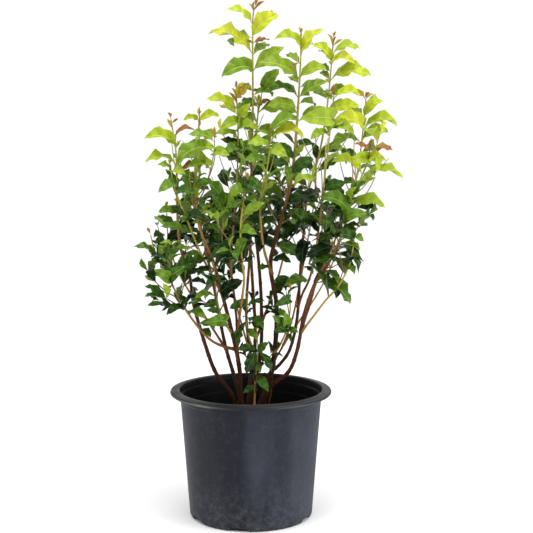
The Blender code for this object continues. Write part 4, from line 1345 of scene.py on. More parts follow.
    def place_leaf(self, mass: Mass, order: int, base: Vector, direction: Vector, turn: float,
                   from_tip: float, dice: Dice, scale: float) -> Optional[Leaf]:
        """Place one leaf at a node.

        Args:
            mass: The mass that it belongs to.
            order: The order of its twig.
            base: The node on the twig's axis.
            direction: The twig's direction there.
            turn: The leaf's angle round the twig.
            from_tip: The node's distance from the twig's tip.
            dice: The source of its variation.
            scale: Its size beside the rule's.

        Returns:
            The leaf, or nothing where every try leaves its space or touches something.
        """
        age = min(from_tip / RULE.young_stretch, 1.0)
        high, low = RULE.shade_heights
        shade = (base.z - high) / (low - high)
        swing_by, swing_more = RULE.leaf_swings
        open_by, open_more = RULE.open_swings
        for attempt in range(RULE.tries):
            swing = dice.uniform(-swing_by, swing_by) * (1 + attempt * swing_more)
            angle = blend(age, *RULE.open_angles)
            angle += dice.uniform(-open_by, open_by) * (1 + attempt * open_more)
            along = leaning(direction, turn + swing, angle)
            droop = dice.uniform(*RULE.leaf_droops) + blend(shade, 0.0, RULE.shade_droop)
            along = (along - UP * droop * age).normalized()
            normal = direction - along * direction.dot(along)
            normal = (normal.normalized() + UP * RULE.leaf_lean).normalized()
            normal = (normal - along * normal.dot(along)).normalized()
            normal.rotate(Quaternion(along, dice.uniform(-RULE.leaf_roll, RULE.leaf_roll)))
            size = blend(age, RULE.tip_leaf_length, RULE.leaf_length)
            size *= dice.uniform(*RULE.leaf_sizes)
            size *= mass.shoot.leaf_scale * scale * (1 - RULE.try_shrink * attempt)
            is_leading = order == 0 and from_tip < RULE.node_spacings[0]
            leaf = Leaf(base - along * RULE.leaf_root, along, normal, size, order, from_tip)
            tip = leaf.base + along * size
            if not self.in_own_space(leaf.base.lerp(tip, RULE.space_share), mass.shoot.name):
                continue
            if not is_leading and outline_share(tip) > 1:
                continue
            tests = (leaf.solid(0.0, RULE.test_clearance),
                     leaf.solid(RULE.test_start, RULE.test_clearance))
            if self.is_free(*tests, mass.shoot.name):
                return leaf
        return None

    def grow_leaves(self, mass: Mass, twig: Twig, number: int, dice: Dice,
                    scale: float = 1.0) -> None:
        """Grow opposite pairs of leaves along a twig, each pair across the last.

        Args:
            mass: The mass that the leaves join.
            twig: The twig that they grow on.
            number: The twig's number, which turns its pairs.
            dice: The source of their variation.
            scale: Their size beside the rule's.
        """
        low, high = mass.shoot.bare
        for pair, from_tip in enumerate(nodes_down(path_length(twig.points))):
            base, direction = point_from_tip(twig.points, from_tip)
            if twig.order == 0 and low * MM < base.z < high * MM:
                continue
            for side in range(2):
                turn = math.pi * side + math.pi / 2 * (pair % 2) + number * RULE.pair_turn
                if dice.random() > RULE.leaf_chance and from_tip > RULE.sure_to:
                    continue
                leaf = self.place_leaf(mass, twig.order, base, direction, turn, from_tip, dice,
                                       scale)
                if leaf:
                    self.take(mass, leaf)

    def grow_finer(self, mass: Mass, dice: Dice) -> None:
        """Carry the rule on: short twigs with smaller leaves in the axils of the side twigs.

        Args:
            mass: The mass to carry on.
            dice: The source of their variation.
        """
        for number, parent in enumerate(list(mass.twigs)):
            for pair, from_tip in enumerate(nodes_down(path_length(parent.points))):
                base, direction = point_from_tip(parent.points, from_tip)
                for side in range(2):
                    chance = dice.random()
                    length = dice.uniform(*RULE.finer_lengths) * mass.shoot.leaf_scale
                    turn = math.pi * side + math.pi / 2 * (pair % 2) + number * RULE.pair_turn
                    if chance > RULE.finer_chance or from_tip < RULE.node_spacings[1]:
                        continue
                    if base.z > RULE.finer_ceiling:
                        continue
                    heading = leaning(direction, turn, RULE.finer_angle)
                    twig = self.grow_twig(mass, base, heading, length, dice, 2)
                    if twig:
                        twig.radii = [radius * RULE.finer_girth for radius in twig.radii]
                        self.take(mass, twig)
                        self.grow_leaves(mass, twig, number + pair, dice, RULE.finer_leaf_scale)


# Pieces


def new_piece(name: str, points: Iterable[Sequence[float]], faces: Iterable[Sequence[int]] = (),
              edges: Iterable[Sequence[int]] = ()) -> Thing:
    """Make a mesh object in the scene, at the origin.

    Args:
        name: Its name.
        points: Its points, in metres.
        faces: Its faces, as numbers of points.
        edges: Loose edges, as numbers of points.

    Returns:
        The object.
    """
    mesh = bpy.data.meshes.new(name)
    mesh.from_pydata([tuple(point) for point in points], list(edges), list(faces))
    thing = bpy.data.objects.new(name, mesh)
    bpy.context.scene.collection.objects.link(thing)
    return thing


def circle(radius: float, height: float, sides: int, shift: float = 0.0) -> list[Triple]:
    """The points of a level ring, turned on by a share of a step."""
    turns = [math.tau * (i + shift) / sides for i in range(sides)]
    return [(radius * math.cos(turn), radius * math.sin(turn), height) for turn in turns]


def turned(name: str, rings: Sequence[Sequence[Triple]], foot: float, top: float) -> Thing:
    """Make a closed turned piece from rings of points, with a fan to the axis at each end.

    Args:
        name: The piece's name.
        rings: The rings, with as many points each.
        foot: The height at which the first ring's fan meets the axis.
        top: The height at which the last ring's fan does.

    Returns:
        The piece. Its faces go up from the first fan to the last, side by side.
    """
    sides = len(rings[0])
    points = [(0.0, 0.0, foot), *(point for ring in rings for point in ring), (0.0, 0.0, top)]
    last = len(points) - 1
    faces = []
    for i in range(sides):
        j = (i + 1) % sides
        faces += [(0, 1 + j, 1 + i), (last, last - sides + i, last - sides + j)]
        faces += [(low + i, low + j, low + sides + j, low + sides + i)
                  for low in range(1, last - sides, sides)]
    return new_piece(name, points, faces)


def set_values(mesh: bpy.types.Mesh, name: str, kind: str, domain: str, values: Sequence) -> None:
    """Write one attribute of a mesh, a flat list of numbers."""
    mesh.attributes.new(name, kind, domain).data.foreach_set("value", values)


def drop_values(mesh: bpy.types.Mesh, names: Iterable[str]) -> None:
    """Remove attributes that no finish reads."""
    for name in [name for name in names if name in mesh.attributes]:
        mesh.attributes.remove(mesh.attributes[name])


def finish_mesh(thing: Thing, sharp: float) -> None:
    """Turn the faces outwards, shade them smooth and keep sharp creases.

    Args:
        thing: The piece.
        sharp: The angle in degrees from which a crease stays sharp.
    """
    shape = bmesh.new()
    shape.from_mesh(thing.data)
    bmesh.ops.recalc_face_normals(shape, faces=shape.faces)
    shape.to_mesh(thing.data)
    shape.free()
    thing.data.shade_smooth()
    thing.data.set_sharp_from_angle(angle=math.radians(sharp))


def declare(thing: Thing, nodes: Iterable[str] = ()) -> None:
    """Tell the frame what a finished piece rides on and the nodes that it stands for.

    Args:
        thing: The piece.
        nodes: The nodes that it replaces.
    """
    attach(thing, BODY)
    nodes = list(nodes)
    if nodes:
        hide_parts(*nodes)
    faces = sum(len(face.vertices) - 2 for face in thing.data.polygons)
    LOG.info("%s: %d triangles, stands for %d nodes", thing.name, faces, len(nodes))


@dataclass
class NurseryPot:
    """The pot: a tapered wall, a collar under a wide rolled lip, stacking ledges, drain notches."""

    height: float = 223 * MM
    rim_radius: float = 140 * MM
    body_top_radius: float = 123.3 * MM
    base_radius: float = 107 * MM
    wall: float = 2.4 * MM
    foot_chamfer: float = 3 * MM
    lip_drop: float = 6 * MM
    lip_thickness: float = 2.4 * MM
    collar_height: float = 16 * MM
    collar_step: float = 2.6 * MM
    ledge_drops: Span = (12 * MM, 30 * MM)
    ledge_depths: Span = (2.6 * MM, 1.2 * MM)
    notch_degrees: tuple[float, ...] = (-150, -101, -27, 30, 79, 153)
    notch_size: Triple = (12 * MM, 34 * MM, 6 * MM)
    notch_corner: float = 2.5 * MM
    sides: int = 176
    corner_steps: int = 3
    outside: PotPlastic = PotPlastic("pot_plastic", *palette("14 18 29, 54 58 68, 88 90 93"))
    # The inside's colours are darker than the outside's, as painted shade inside the pot.
    inside: PotPlastic = PotPlastic("pot_plastic_inside", *palette("7 7 9, 13 13 15, 34 33 32"),
                                    dustiness=0.4, gloss=0.08)

    def wall_radius(self, height: float) -> float:
        """The radius of the outer wall at a height."""
        return self.base_radius + (self.body_top_radius - self.base_radius) * height / self.height

    def inner_outline(self) -> list[Triple]:
        """Draw the inner side from the lip down to the floor.

        Returns:
            Its corners, as radius, height and corner radius.
        """
        outline = [(self.wall_radius(self.height) + self.collar_step - self.wall,
                    self.height - 1 * MM, 1.2 * MM)]
        inset = self.wall - self.collar_step
        for drop, depth in zip(self.ledge_drops, self.ledge_depths):
            height = self.height - drop
            outline.append((self.wall_radius(height) - inset, height, 0.8 * MM))
            inset += depth
            outline.append((self.wall_radius(height) - inset, height - 2 * MM, 0.8 * MM))
        outline.append((self.wall_radius(self.wall) - inset, self.wall + 4 * MM, 1 * MM))
        outline.append((self.wall_radius(self.wall) - inset - 4 * MM, self.wall, 1 * MM))
        return outline

    def outer_outline(self) -> list[Triple]:
        """Draw the outer side from the foot up over the lip.

        Returns:
            Its corners, as radius, height and corner radius.
        """
        low = self.height - self.collar_height
        collar = self.wall_radius(self.height) + self.collar_step
        lip = self.rim_radius
        return [(self.base_radius - self.foot_chamfer, 0.0, 0.8 * MM),
                (self.base_radius, self.foot_chamfer, 1.2 * MM),
                (self.wall_radius(low - 3 * MM), low - 3 * MM, 2 * MM), (collar, low, 1.5 * MM),
                (collar, self.height - 4.5 * MM, 1.2 * MM),
                (lip - self.lip_thickness, self.height - self.lip_drop, 0.5 * MM),
                (lip - self.lip_thickness * 0.4, self.height - self.lip_drop - 1.5 * MM, 0.6 * MM),
                (lip, self.height - self.lip_drop, 0.9 * MM),
                (lip - 1.5 * MM, self.height - 2.4 * MM, 1.2 * MM),
                (self.inner_outline()[0][0] + 3 * MM, self.height, 2 * MM)]

    def rounded(self, outline: Sequence[Triple]) -> list[Span]:
        """Turn each corner between the ends of an open outline into a small arc.

        Args:
            outline: Its corners, as radius, height and corner radius.

        Returns:
            The finer outline, as radius and height.
        """
        spots = [Vector((radius, height)) for radius, height, _ in outline]
        result = [tuple(spots[0])]
        for before, spot, after, (_, _, size) in zip(spots, spots[1:], spots[2:], outline[1:]):
            size = min(size, (before - spot).length * 0.45, (after - spot).length * 0.45)
            start = spot + (before - spot).normalized() * size
            end = spot + (after - spot).normalized() * size
            for i in range(self.corner_steps + 1):
                t = i / self.corner_steps
                result.append(tuple(start.lerp(spot, t).lerp(spot.lerp(end, t), t)))
        result.append(tuple(spots[-1]))
        return result

    def wobble(self, turn: float, height: float) -> float:
        """How much wider the thin wall is at a place than a true circle."""
        share = (height / self.height) ** 2
        return share * (0.5 * math.sin(2 * turn + 0.6) + 0.3 * math.sin(5 * turn)) * MM

    def build(self) -> None:
        """Turn the wall, cut the notches and dress the pot."""
        outer = self.outer_outline()
        inner = self.inner_outline()
        outline = self.rounded(outer + inner)
        split = len(self.rounded(outer + inner[:2])) - 2
        turns = [math.tau * (i + 0.5) / self.sides for i in range(self.sides)]
        rings = []
        for radius, height in outline:
            spots = [(radius + self.wobble(turn, height), turn) for turn in turns]
            rings.append([(wide * math.cos(turn), wide * math.sin(turn), height)
                          for wide, turn in spots])
        pot = turned("pot_shell", rings, 0.0, self.wall)
        pot.data.materials.append(self.outside.make())
        pot.data.materials.append(self.inside.make())
        marks = [0, 1] + [int(level >= split) for level in range(len(outline) - 1)]
        pot.data.polygons.foreach_set("material_index", marks * self.sides)
        self.cut_notches(pot)
        finish_mesh(pot, 32)
        declare(pot, ["pot"])

    def cut_notches(self, pot: Thing) -> None:
        """Cut the drain notches out of the foot, each with rounded ends.

        Args:
            pot: The pot.
        """
        shape = bmesh.new()
        depth, width, height = self.notch_size
        for degrees in self.notch_degrees:
            made = bmesh.ops.create_cube(shape, size=1.0)["verts"]
            scale = Matrix.Diagonal((depth, width, height * 2, 1.0))
            place = Matrix.Rotation(math.radians(degrees), 4, "Z") @ Matrix.Translation(
                (self.base_radius - 2 * MM, 0, 0))
            bmesh.ops.transform(shape, matrix=place @ scale, verts=made)
            edges = {edge for vertex in made for edge in vertex.link_edges}
            level = [edge for edge in edges if abs(edge.verts[0].co.z - edge.verts[1].co.z) < 1e-6
                     and edge.verts[0].co.z > 0]
            bmesh.ops.bevel(shape, geom=level, offset=self.notch_corner, segments=4, affect="EDGES")
        cutter = new_piece("notch_cutter", [])
        shape.to_mesh(cutter.data)
        shape.free()
        boolean = pot.modifiers.new("notches", "BOOLEAN")
        boolean.operation = "DIFFERENCE"
        boolean.solver = "EXACT"
        boolean.object = cutter
        keep_shape(pot)
        bpy.data.objects.remove(cutter)


@dataclass
class PottingMix:
    """The soil in the pot: a lumpy surface of fine mix with bark chips scattered on it."""

    pot: NurseryPot
    top: float = 168 * MM
    sides: int = 96
    rings: int = 34
    lump: float = 2.2 * MM
    lump_layers: tuple[Span, ...] = ((1.0, 70), (0.6, 190), (0.4, 420))
    mound_height: float = 2.5 * MM
    mound_radius: float = 45 * MM
    chip_density: float = 42000.0
    chip_sizes: Span = (2.2 * MM, 7.5 * MM)
    chip_shapes: tuple[Triple, ...] = ((1.0, 0.62, 0.26), (1.0, 0.45, 0.34), (1.0, 0.8, 0.2),
                                       (1.0, 0.16, 0.1))
    seed: int = 11
    mix: Crumble = Crumble("potting_mix", palette("30 23 18, 66 50 38"), 260.0)
    chips: tuple[Crumble, ...] = (Crumble("chip_dark", palette("40 28 21, 72 50 36")),
                                  Crumble("chip_brown", palette("78 52 34, 112 78 52")),
                                  Crumble("chip_pale", palette("118 92 64, 150 122 88")))
    chip_marks: Triple = (-1.0, 0.6, 0.95)

    def surface(self, x: float, y: float) -> float:
        """Find the height of the lumpy surface, which has a low mound in its middle.

        Args:
            x: The place to the right of the pot's axis.
            y: The place behind it.

        Returns:
            The height.
        """
        spot = Vector((x, y, 0.0))
        lumps = sum(share * noise.noise(spot * scale) for share, scale in self.lump_layers)
        mound = self.mound_height * math.exp(-(spot.length / self.mound_radius) ** 2)
        return self.top - 2 * MM + mound + lumps * self.lump

    def build(self) -> None:
        """Build the soil and the chips on it."""
        inner = [(radius - 1.6 * GAP, height + GAP) for radius, height, _ in
                 self.pot.inner_outline()[::-1] if height < self.top - 4 * MM]
        edge = inner[-1][0] + (self.pot.wall_radius(self.top) - self.pot.wall_radius(inner[-1][1]))
        rings = [circle(radius, height, self.sides) for radius, height in inner]
        for ring in range(self.rings):
            level = circle(edge * (1 - ring / self.rings), 0.0, self.sides, 0.5 * (ring % 2))
            rings.append([(x, y, self.surface(x, y)) for x, y, _ in level])
        soil = turned("potting_mix", rings, self.pot.wall + GAP, self.surface(0.0, 0.0))
        soil.data.materials.append(self.mix.make())
        finish_mesh(soil, 70)
        chips = self.scatter_chips(soil)
        declare(soil, ["soil"])
        declare(chips)

    def chip_forms(self) -> bpy.types.Collection:
        """Make a few rough chips of bark and one shred of fibre, at unit size.

        Returns:
            The collection that holds them.
        """
        dice = Dice(self.seed)
        group = bpy.data.collections.new("chip_forms")
        for number, size in enumerate(self.chip_shapes):
            shape = bmesh.new()
            bmesh.ops.create_cube(shape, size=1.0)
            bmesh.ops.subdivide_edges(shape, edges=shape.edges[:], cuts=1, use_grid_fill=True)
            for vertex in shape.verts:
                shrink = 1 - 0.22 * (abs(vertex.co.x) + abs(vertex.co.y))
                shift = Vector([dice.uniform(-0.09, 0.09) for _ in range(3)])
                vertex.co = Vector((vertex.co.x * size[0], vertex.co.y * size[1] * shrink * 1.2,
                                    vertex.co.z * size[2])) + shift * min(size[1], 0.5)
            mesh = bpy.data.meshes.new(f"chip_form_{number}")
            shape.to_mesh(mesh)
            shape.free()
            group.objects.link(bpy.data.objects.new(f"chip_form_{number}", mesh))
        return group

    def scatter_chips(self, soil: Thing) -> Thing:
        """Scatter the chips over the soil's top by Geometry Nodes.

        Args:
            soil: The finished soil.

        Returns:
            The chips as one plain piece.
        """
        group = self.chip_forms()
        chips = bpy.data.objects.new("bark_chips", soil.data.copy())
        bpy.context.scene.collection.objects.link(chips)
        tree = ShapeTree("chip_scatter")
        density = tree.given("Chips per square metre", "Float", self.chip_density)
        low = tree.given("Smallest chip", "Float", self.chip_sizes[0])
        high = tree.given("Largest chip", "Float", self.chip_sizes[1])
        seed = tree.given("Seed", "Int", self.seed)
        forms = tree.given("Chip forms", "Collection", group)
        facing = tree.above(tree.upward(tree.out("GeometryNodeInputNormal")), 0.3)
        height = tree.upward(tree.out("GeometryNodeInputPosition"))
        chosen = tree.out("FunctionNodeBooleanMath", {
            0: tree.above(height, self.top - 12 * MM), 1: facing}, operation="AND")
        spread = tree.out("GeometryNodeDistributePointsOnFaces", {
            "Mesh": tree.start, "Selection": chosen, "Density": density, "Seed": seed})
        turn = tree.dealt("FLOAT_VECTOR", (-0.5, -0.5, 0.0), (0.5, 0.5, math.tau), seed)
        placed = tree.scattered(spread, forms, tree.dealt("INT", 0, 3, seed), turn,
                                tree.dealt("FLOAT", low, high, seed))
        toned = tree.out("GeometryNodeStoreNamedAttribute", {
            "Geometry": placed, "Name": "tone", "Value": tree.dealt("FLOAT", 0.0, 1.0, seed)},
            data_type="FLOAT", domain="INSTANCE")
        tree.end(toned, tree.attribute("tone"), [chip.make() for chip in self.chips],
                 self.chip_marks)
        tree.run(chips)
        finish_mesh(chips, 40)
        clear_group(group)
        return chips


def clear_group(group: bpy.types.Collection) -> None:
    """Remove a collection with its objects, once instances of them are realized.

    Args:
        group: The collection.
    """
    for thing in list(group.objects):
        bpy.data.objects.remove(thing)
    bpy.data.collections.remove(group)


class TubeTree(ShapeTree):
    """Geometry Nodes that turn lines with a girth into round limbs with relief."""

    def __init__(self, name: str, sides: int, relief: float, grain: float,
                 finishes: Sequence[Material]) -> None:
        """Build the tree.

        Args:
            name: The tree's name.
            sides: How many sides a limb has.
            relief: How far the relief stands out, as a share of the girth.
            grain: The relief's scale.
            finishes: The materials, which the attribute kind chooses from.
        """
        super().__init__(name)
        sides_in = self.given("Sides", "Int", sides)
        relief_in = self.given("Relief", "Float", relief)
        grain_in = self.given("Grain", "Float", grain)
        girth = self.attribute("girth")
        tube = self.out("GeometryNodeCurveToMesh", {
            "Curve": self.out("GeometryNodeMeshToCurve", {0: self.start}),
            "Profile Curve": self.out("GeometryNodeCurvePrimitiveCircle", {
                "Resolution": sides_in, "Radius": 1.0}),
            "Scale": girth, "Fill Caps": True})
        long = self.scaled(self.out("GeometryNodeInputPosition"), (1.0, 1.0, 0.22))
        depth = self.times(self.math("SUBTRACT", self.noise(long, grain_in), 0.5),
                           self.times(relief_in, girth))
        offset = self.out("ShaderNodeVectorMath", {
            0: self.out("GeometryNodeInputNormal"), "Scale": depth}, operation="SCALE")
        shaped = self.out("GeometryNodeSetPosition", {"Geometry": tube, "Offset": offset})
        self.end(shaped, self.attribute("kind"), finishes)


@dataclass
class TubeLine:
    """A line of points that becomes one limb, with its girth and age at each point and its kind."""

    points: list[Vector]
    girths: list[float]
    ages: list[float]
    kind: int = 0


def tubes_from(name: str, lines: Sequence[TubeLine], tree: TubeTree) -> Thing:
    """Make many limbs as one piece.

    Args:
        name: The piece's name.
        lines: Their lines.
        tree: The Geometry Nodes that give them their shape.

    Returns:
        The piece, a plain mesh.
    """
    points = []
    edges = []
    for line in lines:
        first = len(points)
        points += line.points
        edges += [(i, i + 1) for i in range(first, len(points) - 1)]
    thing = new_piece(name, points, edges=edges)
    values = {"girth": [girth for line in lines for girth in line.girths],
              "age": [age for line in lines for age in line.ages],
              "kind": [float(line.kind) for line in lines for _ in line.points]}
    for title, numbers in values.items():
        set_values(thing.data, title, "FLOAT", "POINT", numbers)
    tree.run(thing)
    finish_mesh(thing, 75)
    drop_values(thing.data, ("girth", "kind"))
    return thing


@dataclass
class WoodyLimbs:
    """The stems and boughs with their bark, each run on without a break to its shoot's tip."""

    lines: dict[str, ShootLine]
    step: float = 3.2 * MM
    sides: int = 14
    sunk: float = 7 * MM
    node_swell: float = 0.16
    node_width: float = 2.2 * MM
    scar_spacing: float = 27 * MM
    scar_heights: Span = (20 * MM, 12 * MM)
    collar: float = 0.55
    collar_length: float = 7 * MM
    tip_length: float = 4 * MM
    relief: float = 0.34
    grain: float = 620.0
    old_below: float = 600 * MM
    age_per_girth: float = 110.0
    slimness: float = 0.9
    thin_radius: float = 1.6 * MM
    low_age: float = 0.35
    long_age: float = 0.7
    bark: Bark = Bark()

    def nodes_of(self, line: ShootLine) -> list[float]:
        """Find where leaves stand or once stood on a limb.

        Args:
            line: The limb's line.

        Returns:
            Their distances from its foot.
        """
        spots = [line.length - back for back in nodes_down(line.length - line.entry)]
        lowest, margin = self.scar_heights
        below = line.entry - margin
        while below > lowest:
            spots.append(below)
            below -= self.scar_spacing
        return spots

    def girth(self, line: ShootLine, distance: float, nodes: list[float]) -> float:
        """Find a limb's radius, with its swollen nodes and the collar where a bough leaves.

        Args:
            line: The limb's line.
            distance: The distance from its foot.
            nodes: Where its nodes are.

        Returns:
            The radius.
        """
        radius = line.radius(distance) * self.slimness
        near = min(abs(distance - node) for node in nodes)
        radius *= 1 + self.node_swell * math.exp(-(near / self.node_width) ** 2)
        if line.shoot.parent:
            surface = distance - line.shoot.radius * MM
            radius *= 1 + self.collar * math.exp(-(max(surface, 0.0) / self.collar_length))
        if distance > line.length - self.tip_length:
            radius *= max((line.length - distance) / self.tip_length, 0.25)
        return radius

    def age(self, line: ShootLine, distance: float) -> float:
        """Find how old the bark looks: more so far from the tip, on a thick limb, and low down.

        Args:
            line: The limb's line.
            distance: The distance from its foot.

        Returns:
            The age, as a distance from the tip.
        """
        thick = max(line.radius(distance) - self.thin_radius, 0.0) * self.age_per_girth
        low = max(self.old_below - line.at(distance).z, 0.0) * self.low_age
        return (line.length - distance) * self.long_age + thick + low

    def build(self) -> None:
        """Build all the wood as one piece."""
        lines = []
        for line in self.lines.values():
            nodes = self.nodes_of(line)
            start = 0.0 if line.shoot.parent else -self.sunk
            stops = spaced(start, line.length, round((line.length - start) / self.step))
            points = [line.at(stop) + UP * min(stop, 0.0) for stop in stops]
            girths = [self.girth(line, stop, nodes) for stop in stops]
            lines.append(TubeLine(points, girths, [self.age(line, stop) for stop in stops]))
        tree = TubeTree("bark_relief", self.sides, self.relief, self.grain, [self.bark.make()])
        declare(tubes_from("stems_and_boughs", lines, tree), self.lines)


class Part(IntEnum):
    """The parts of a leaf, as written on its faces. The number of its shade is added to each."""

    BLADE = 0
    HOLLOW = 5
    UNDERSIDE = 10
    RIB = 20


@dataclass(frozen=True)
class LeafForm:
    """One shape of leaf at unit length. X runs along its rib and Z out of its upper face."""

    width: float = 0.37
    lift: float = 26.0
    bend: float = 82.0
    fold: float = 24.0
    wave: float = 0.022
    waves: float = 2.2
    twist: float = 8.0
    sway: float = 6.0
    segments: int = 8
    petiole: float = 0.09
    thickness: float = 0.007
    quilt: float = 0.17
    tooth: float = 0.06
    sweep: float = 0.13
    rib: float = 0.011
    foot_power: float = 0.62
    tip_power: float = 1.12
    peak: float = 0.3223
    lanes: tuple[float, ...] = (-1.0, -0.55, -0.1, 0.1, 0.55, 1.0, 0.0)

    def half_width(self, share: float) -> float:
        """Find half the blade's width, before the veins' slant.

        Args:
            share: The share of the way along the rib.

        Returns:
            The width.
        """
        share = min(share, 1.0)
        return max(self.width / 2 * share ** self.foot_power * (1 - share) ** self.tip_power
                   / self.peak, self.rib * (1 - share))

    def stations(self) -> list[tuple[float, Vector, Vector, Vector, Vector]]:
        """Lay out the rib.

        Returns:
            Its places, as share of blade, point, heading, side and face direction.
        """
        result = []
        point = Vector()
        before = 0.0
        for spot in [0.0] + spaced(self.petiole, 1.0, self.segments):
            middle = (spot + before) / 2
            pitch = math.radians(self.lift - self.bend * middle ** 1.25)
            yaw = math.radians(self.sway) * math.sin(math.pi * middle)
            heading = Vector((math.cos(pitch) * math.cos(yaw), math.sin(yaw), math.sin(pitch)))
            point = point + heading * (spot - before)
            side = heading.cross(Vector((0, 0, 1))).normalized() * -1
            side.rotate(Quaternion(heading, math.radians(self.twist) * (spot - 0.3)))
            face = heading.cross(side).normalized()
            share = max((spot - self.petiole) / (1 - self.petiole), 0.0)
            result.append((share, point, heading, side, face))
            before = spot
        return result

    def chord(self) -> Triple:
        """Measure the straight line from the leaf's foot to its tip.

        Returns:
            Its length, its tilt in radians, and how far the rib arches off it as a share.
        """
        spots = [station[1] for station in self.stations()]
        end = spots[-1]
        rise = max(abs(spot.x * end.z - spot.z * end.x) for spot in spots) / end.length
        return end.length, math.atan2(end.z, end.x), rise / end.length

    def ring(self, number: int, station: tuple) -> list[Vector]:
        """The points across the blade at one place: six on the upper face and one beneath.

        Args:
            number: The place's number, which alternates the teeth and the swell between veins.
            station: The place, as stations gives it.

        Returns:
            The points, from edge to edge and then the one beneath.
        """
        share, point, heading, side, face = station
        odd = number % 2
        half = self.half_width(share) if share > 0 else self.rib * 1.2
        rib = min(self.rib * (1 - 0.55 * share), half * 0.5)
        slope = math.tan(math.radians(self.fold))
        ring = []
        for lane in self.lanes:
            part = lane if abs(lane) > 0.1 else rib / half * (lane / 0.1)
            wide = half * (1 + self.tooth * (1 if odd else -1)) if abs(lane) == 1.0 else half
            rise = half * slope * (abs(part) - 0.42 * part * part)
            if abs(lane) == 0.55 and odd:
                rise += half * self.quilt
            if abs(lane) == 1.0:
                phase = math.tau * self.waves * share + (1.3 if part > 0 else 0.0)
                rise += self.wave * math.sin(phase) * half / (self.width / 2)
            if lane == 0.0:
                rise = -self.thickness if share > 0 else -self.rib * 1.3
            onward = self.sweep * abs(part) * min(half / (self.width / 2), 1.0)
            ring.append(point + side * (part * wide) + face * rise + heading * onward)
        return ring

    def build(self, name: str) -> Thing:
        """Make the leaf as a closed thin blade, with the part of each face written on it.

        Args:
            name: The object's name.

        Returns:
            The object, in no collection.
        """
        stations = self.stations()
        rings = [self.ring(number, station) for number, station in enumerate(stations[:-1])]
        points = [corner for ring in rings for corner in ring] + [stations[-1][1]]
        count = len(self.lanes)
        faces = [tuple(range(count))]
        parts = [Part.RIB]
        for level in range(len(rings)):
            low = level * count
            # Every other band takes the darker colour: partly the leaf's own tone, partly painted shade of
            # the quilting.
            blade = Part.HOLLOW if level % 2 else Part.BLADE
            for i in range(count):
                j = (i + 1) % count
                part = Part.RIB if i == 2 or level == 0 else blade if i < 5 else Part.UNDERSIDE
                if level == len(rings) - 1:
                    faces.append((low + j, low + i, len(points) - 1))
                    parts.append(part)
                    continue
                corners = (low + j, low + i, low + count + i, low + count + j)
                first = int(abs(self.lanes[i]) <= abs(self.lanes[j]))
                a, b, c, d = corners[first:] + corners[:first]
                faces += [(a, b, c), (a, c, d)]
                parts += [part] * 2
        mesh = bpy.data.meshes.new(name)
        mesh.from_pydata([tuple(corner) for corner in points], [], faces)
        set_values(mesh, "part", "FLOAT", "FACE", [float(part) for part in parts])
        return bpy.data.objects.new(name, mesh)


GROWN_FORMS = (
    LeafForm(width=0.38, wave=0.064),
    LeafForm(width=0.37, lift=34, bend=112, fold=30, wave=0.058, twist=-14, sway=-8),
    LeafForm(width=0.40, lift=20, bend=66, fold=20, wave=0.080, waves=2.8, twist=18, sway=4),
    LeafForm(width=0.36, lift=34, bend=134, fold=34, wave=0.054, twist=22, sway=10),
    LeafForm(width=0.36, lift=14, bend=48, fold=28, wave=0.070, waves=3.1, twist=-22, sway=-5),
    LeafForm(width=0.40, lift=38, bend=98, fold=18, wave=0.086, waves=2.4, twist=6, sway=-14),
    LeafForm(width=0.36, lift=46, bend=160, fold=28, wave=0.058, twist=-10, sway=8),
)
YOUNG_FORMS = (
    LeafForm(width=0.28, lift=10, bend=46, fold=40, wave=0.012, segments=4, quilt=0.0),
    LeafForm(width=0.25, lift=16, bend=84, fold=46, wave=0.010, segments=4, quilt=0.0, sway=12),
)
ALL_FORMS = GROWN_FORMS + YOUNG_FORMS


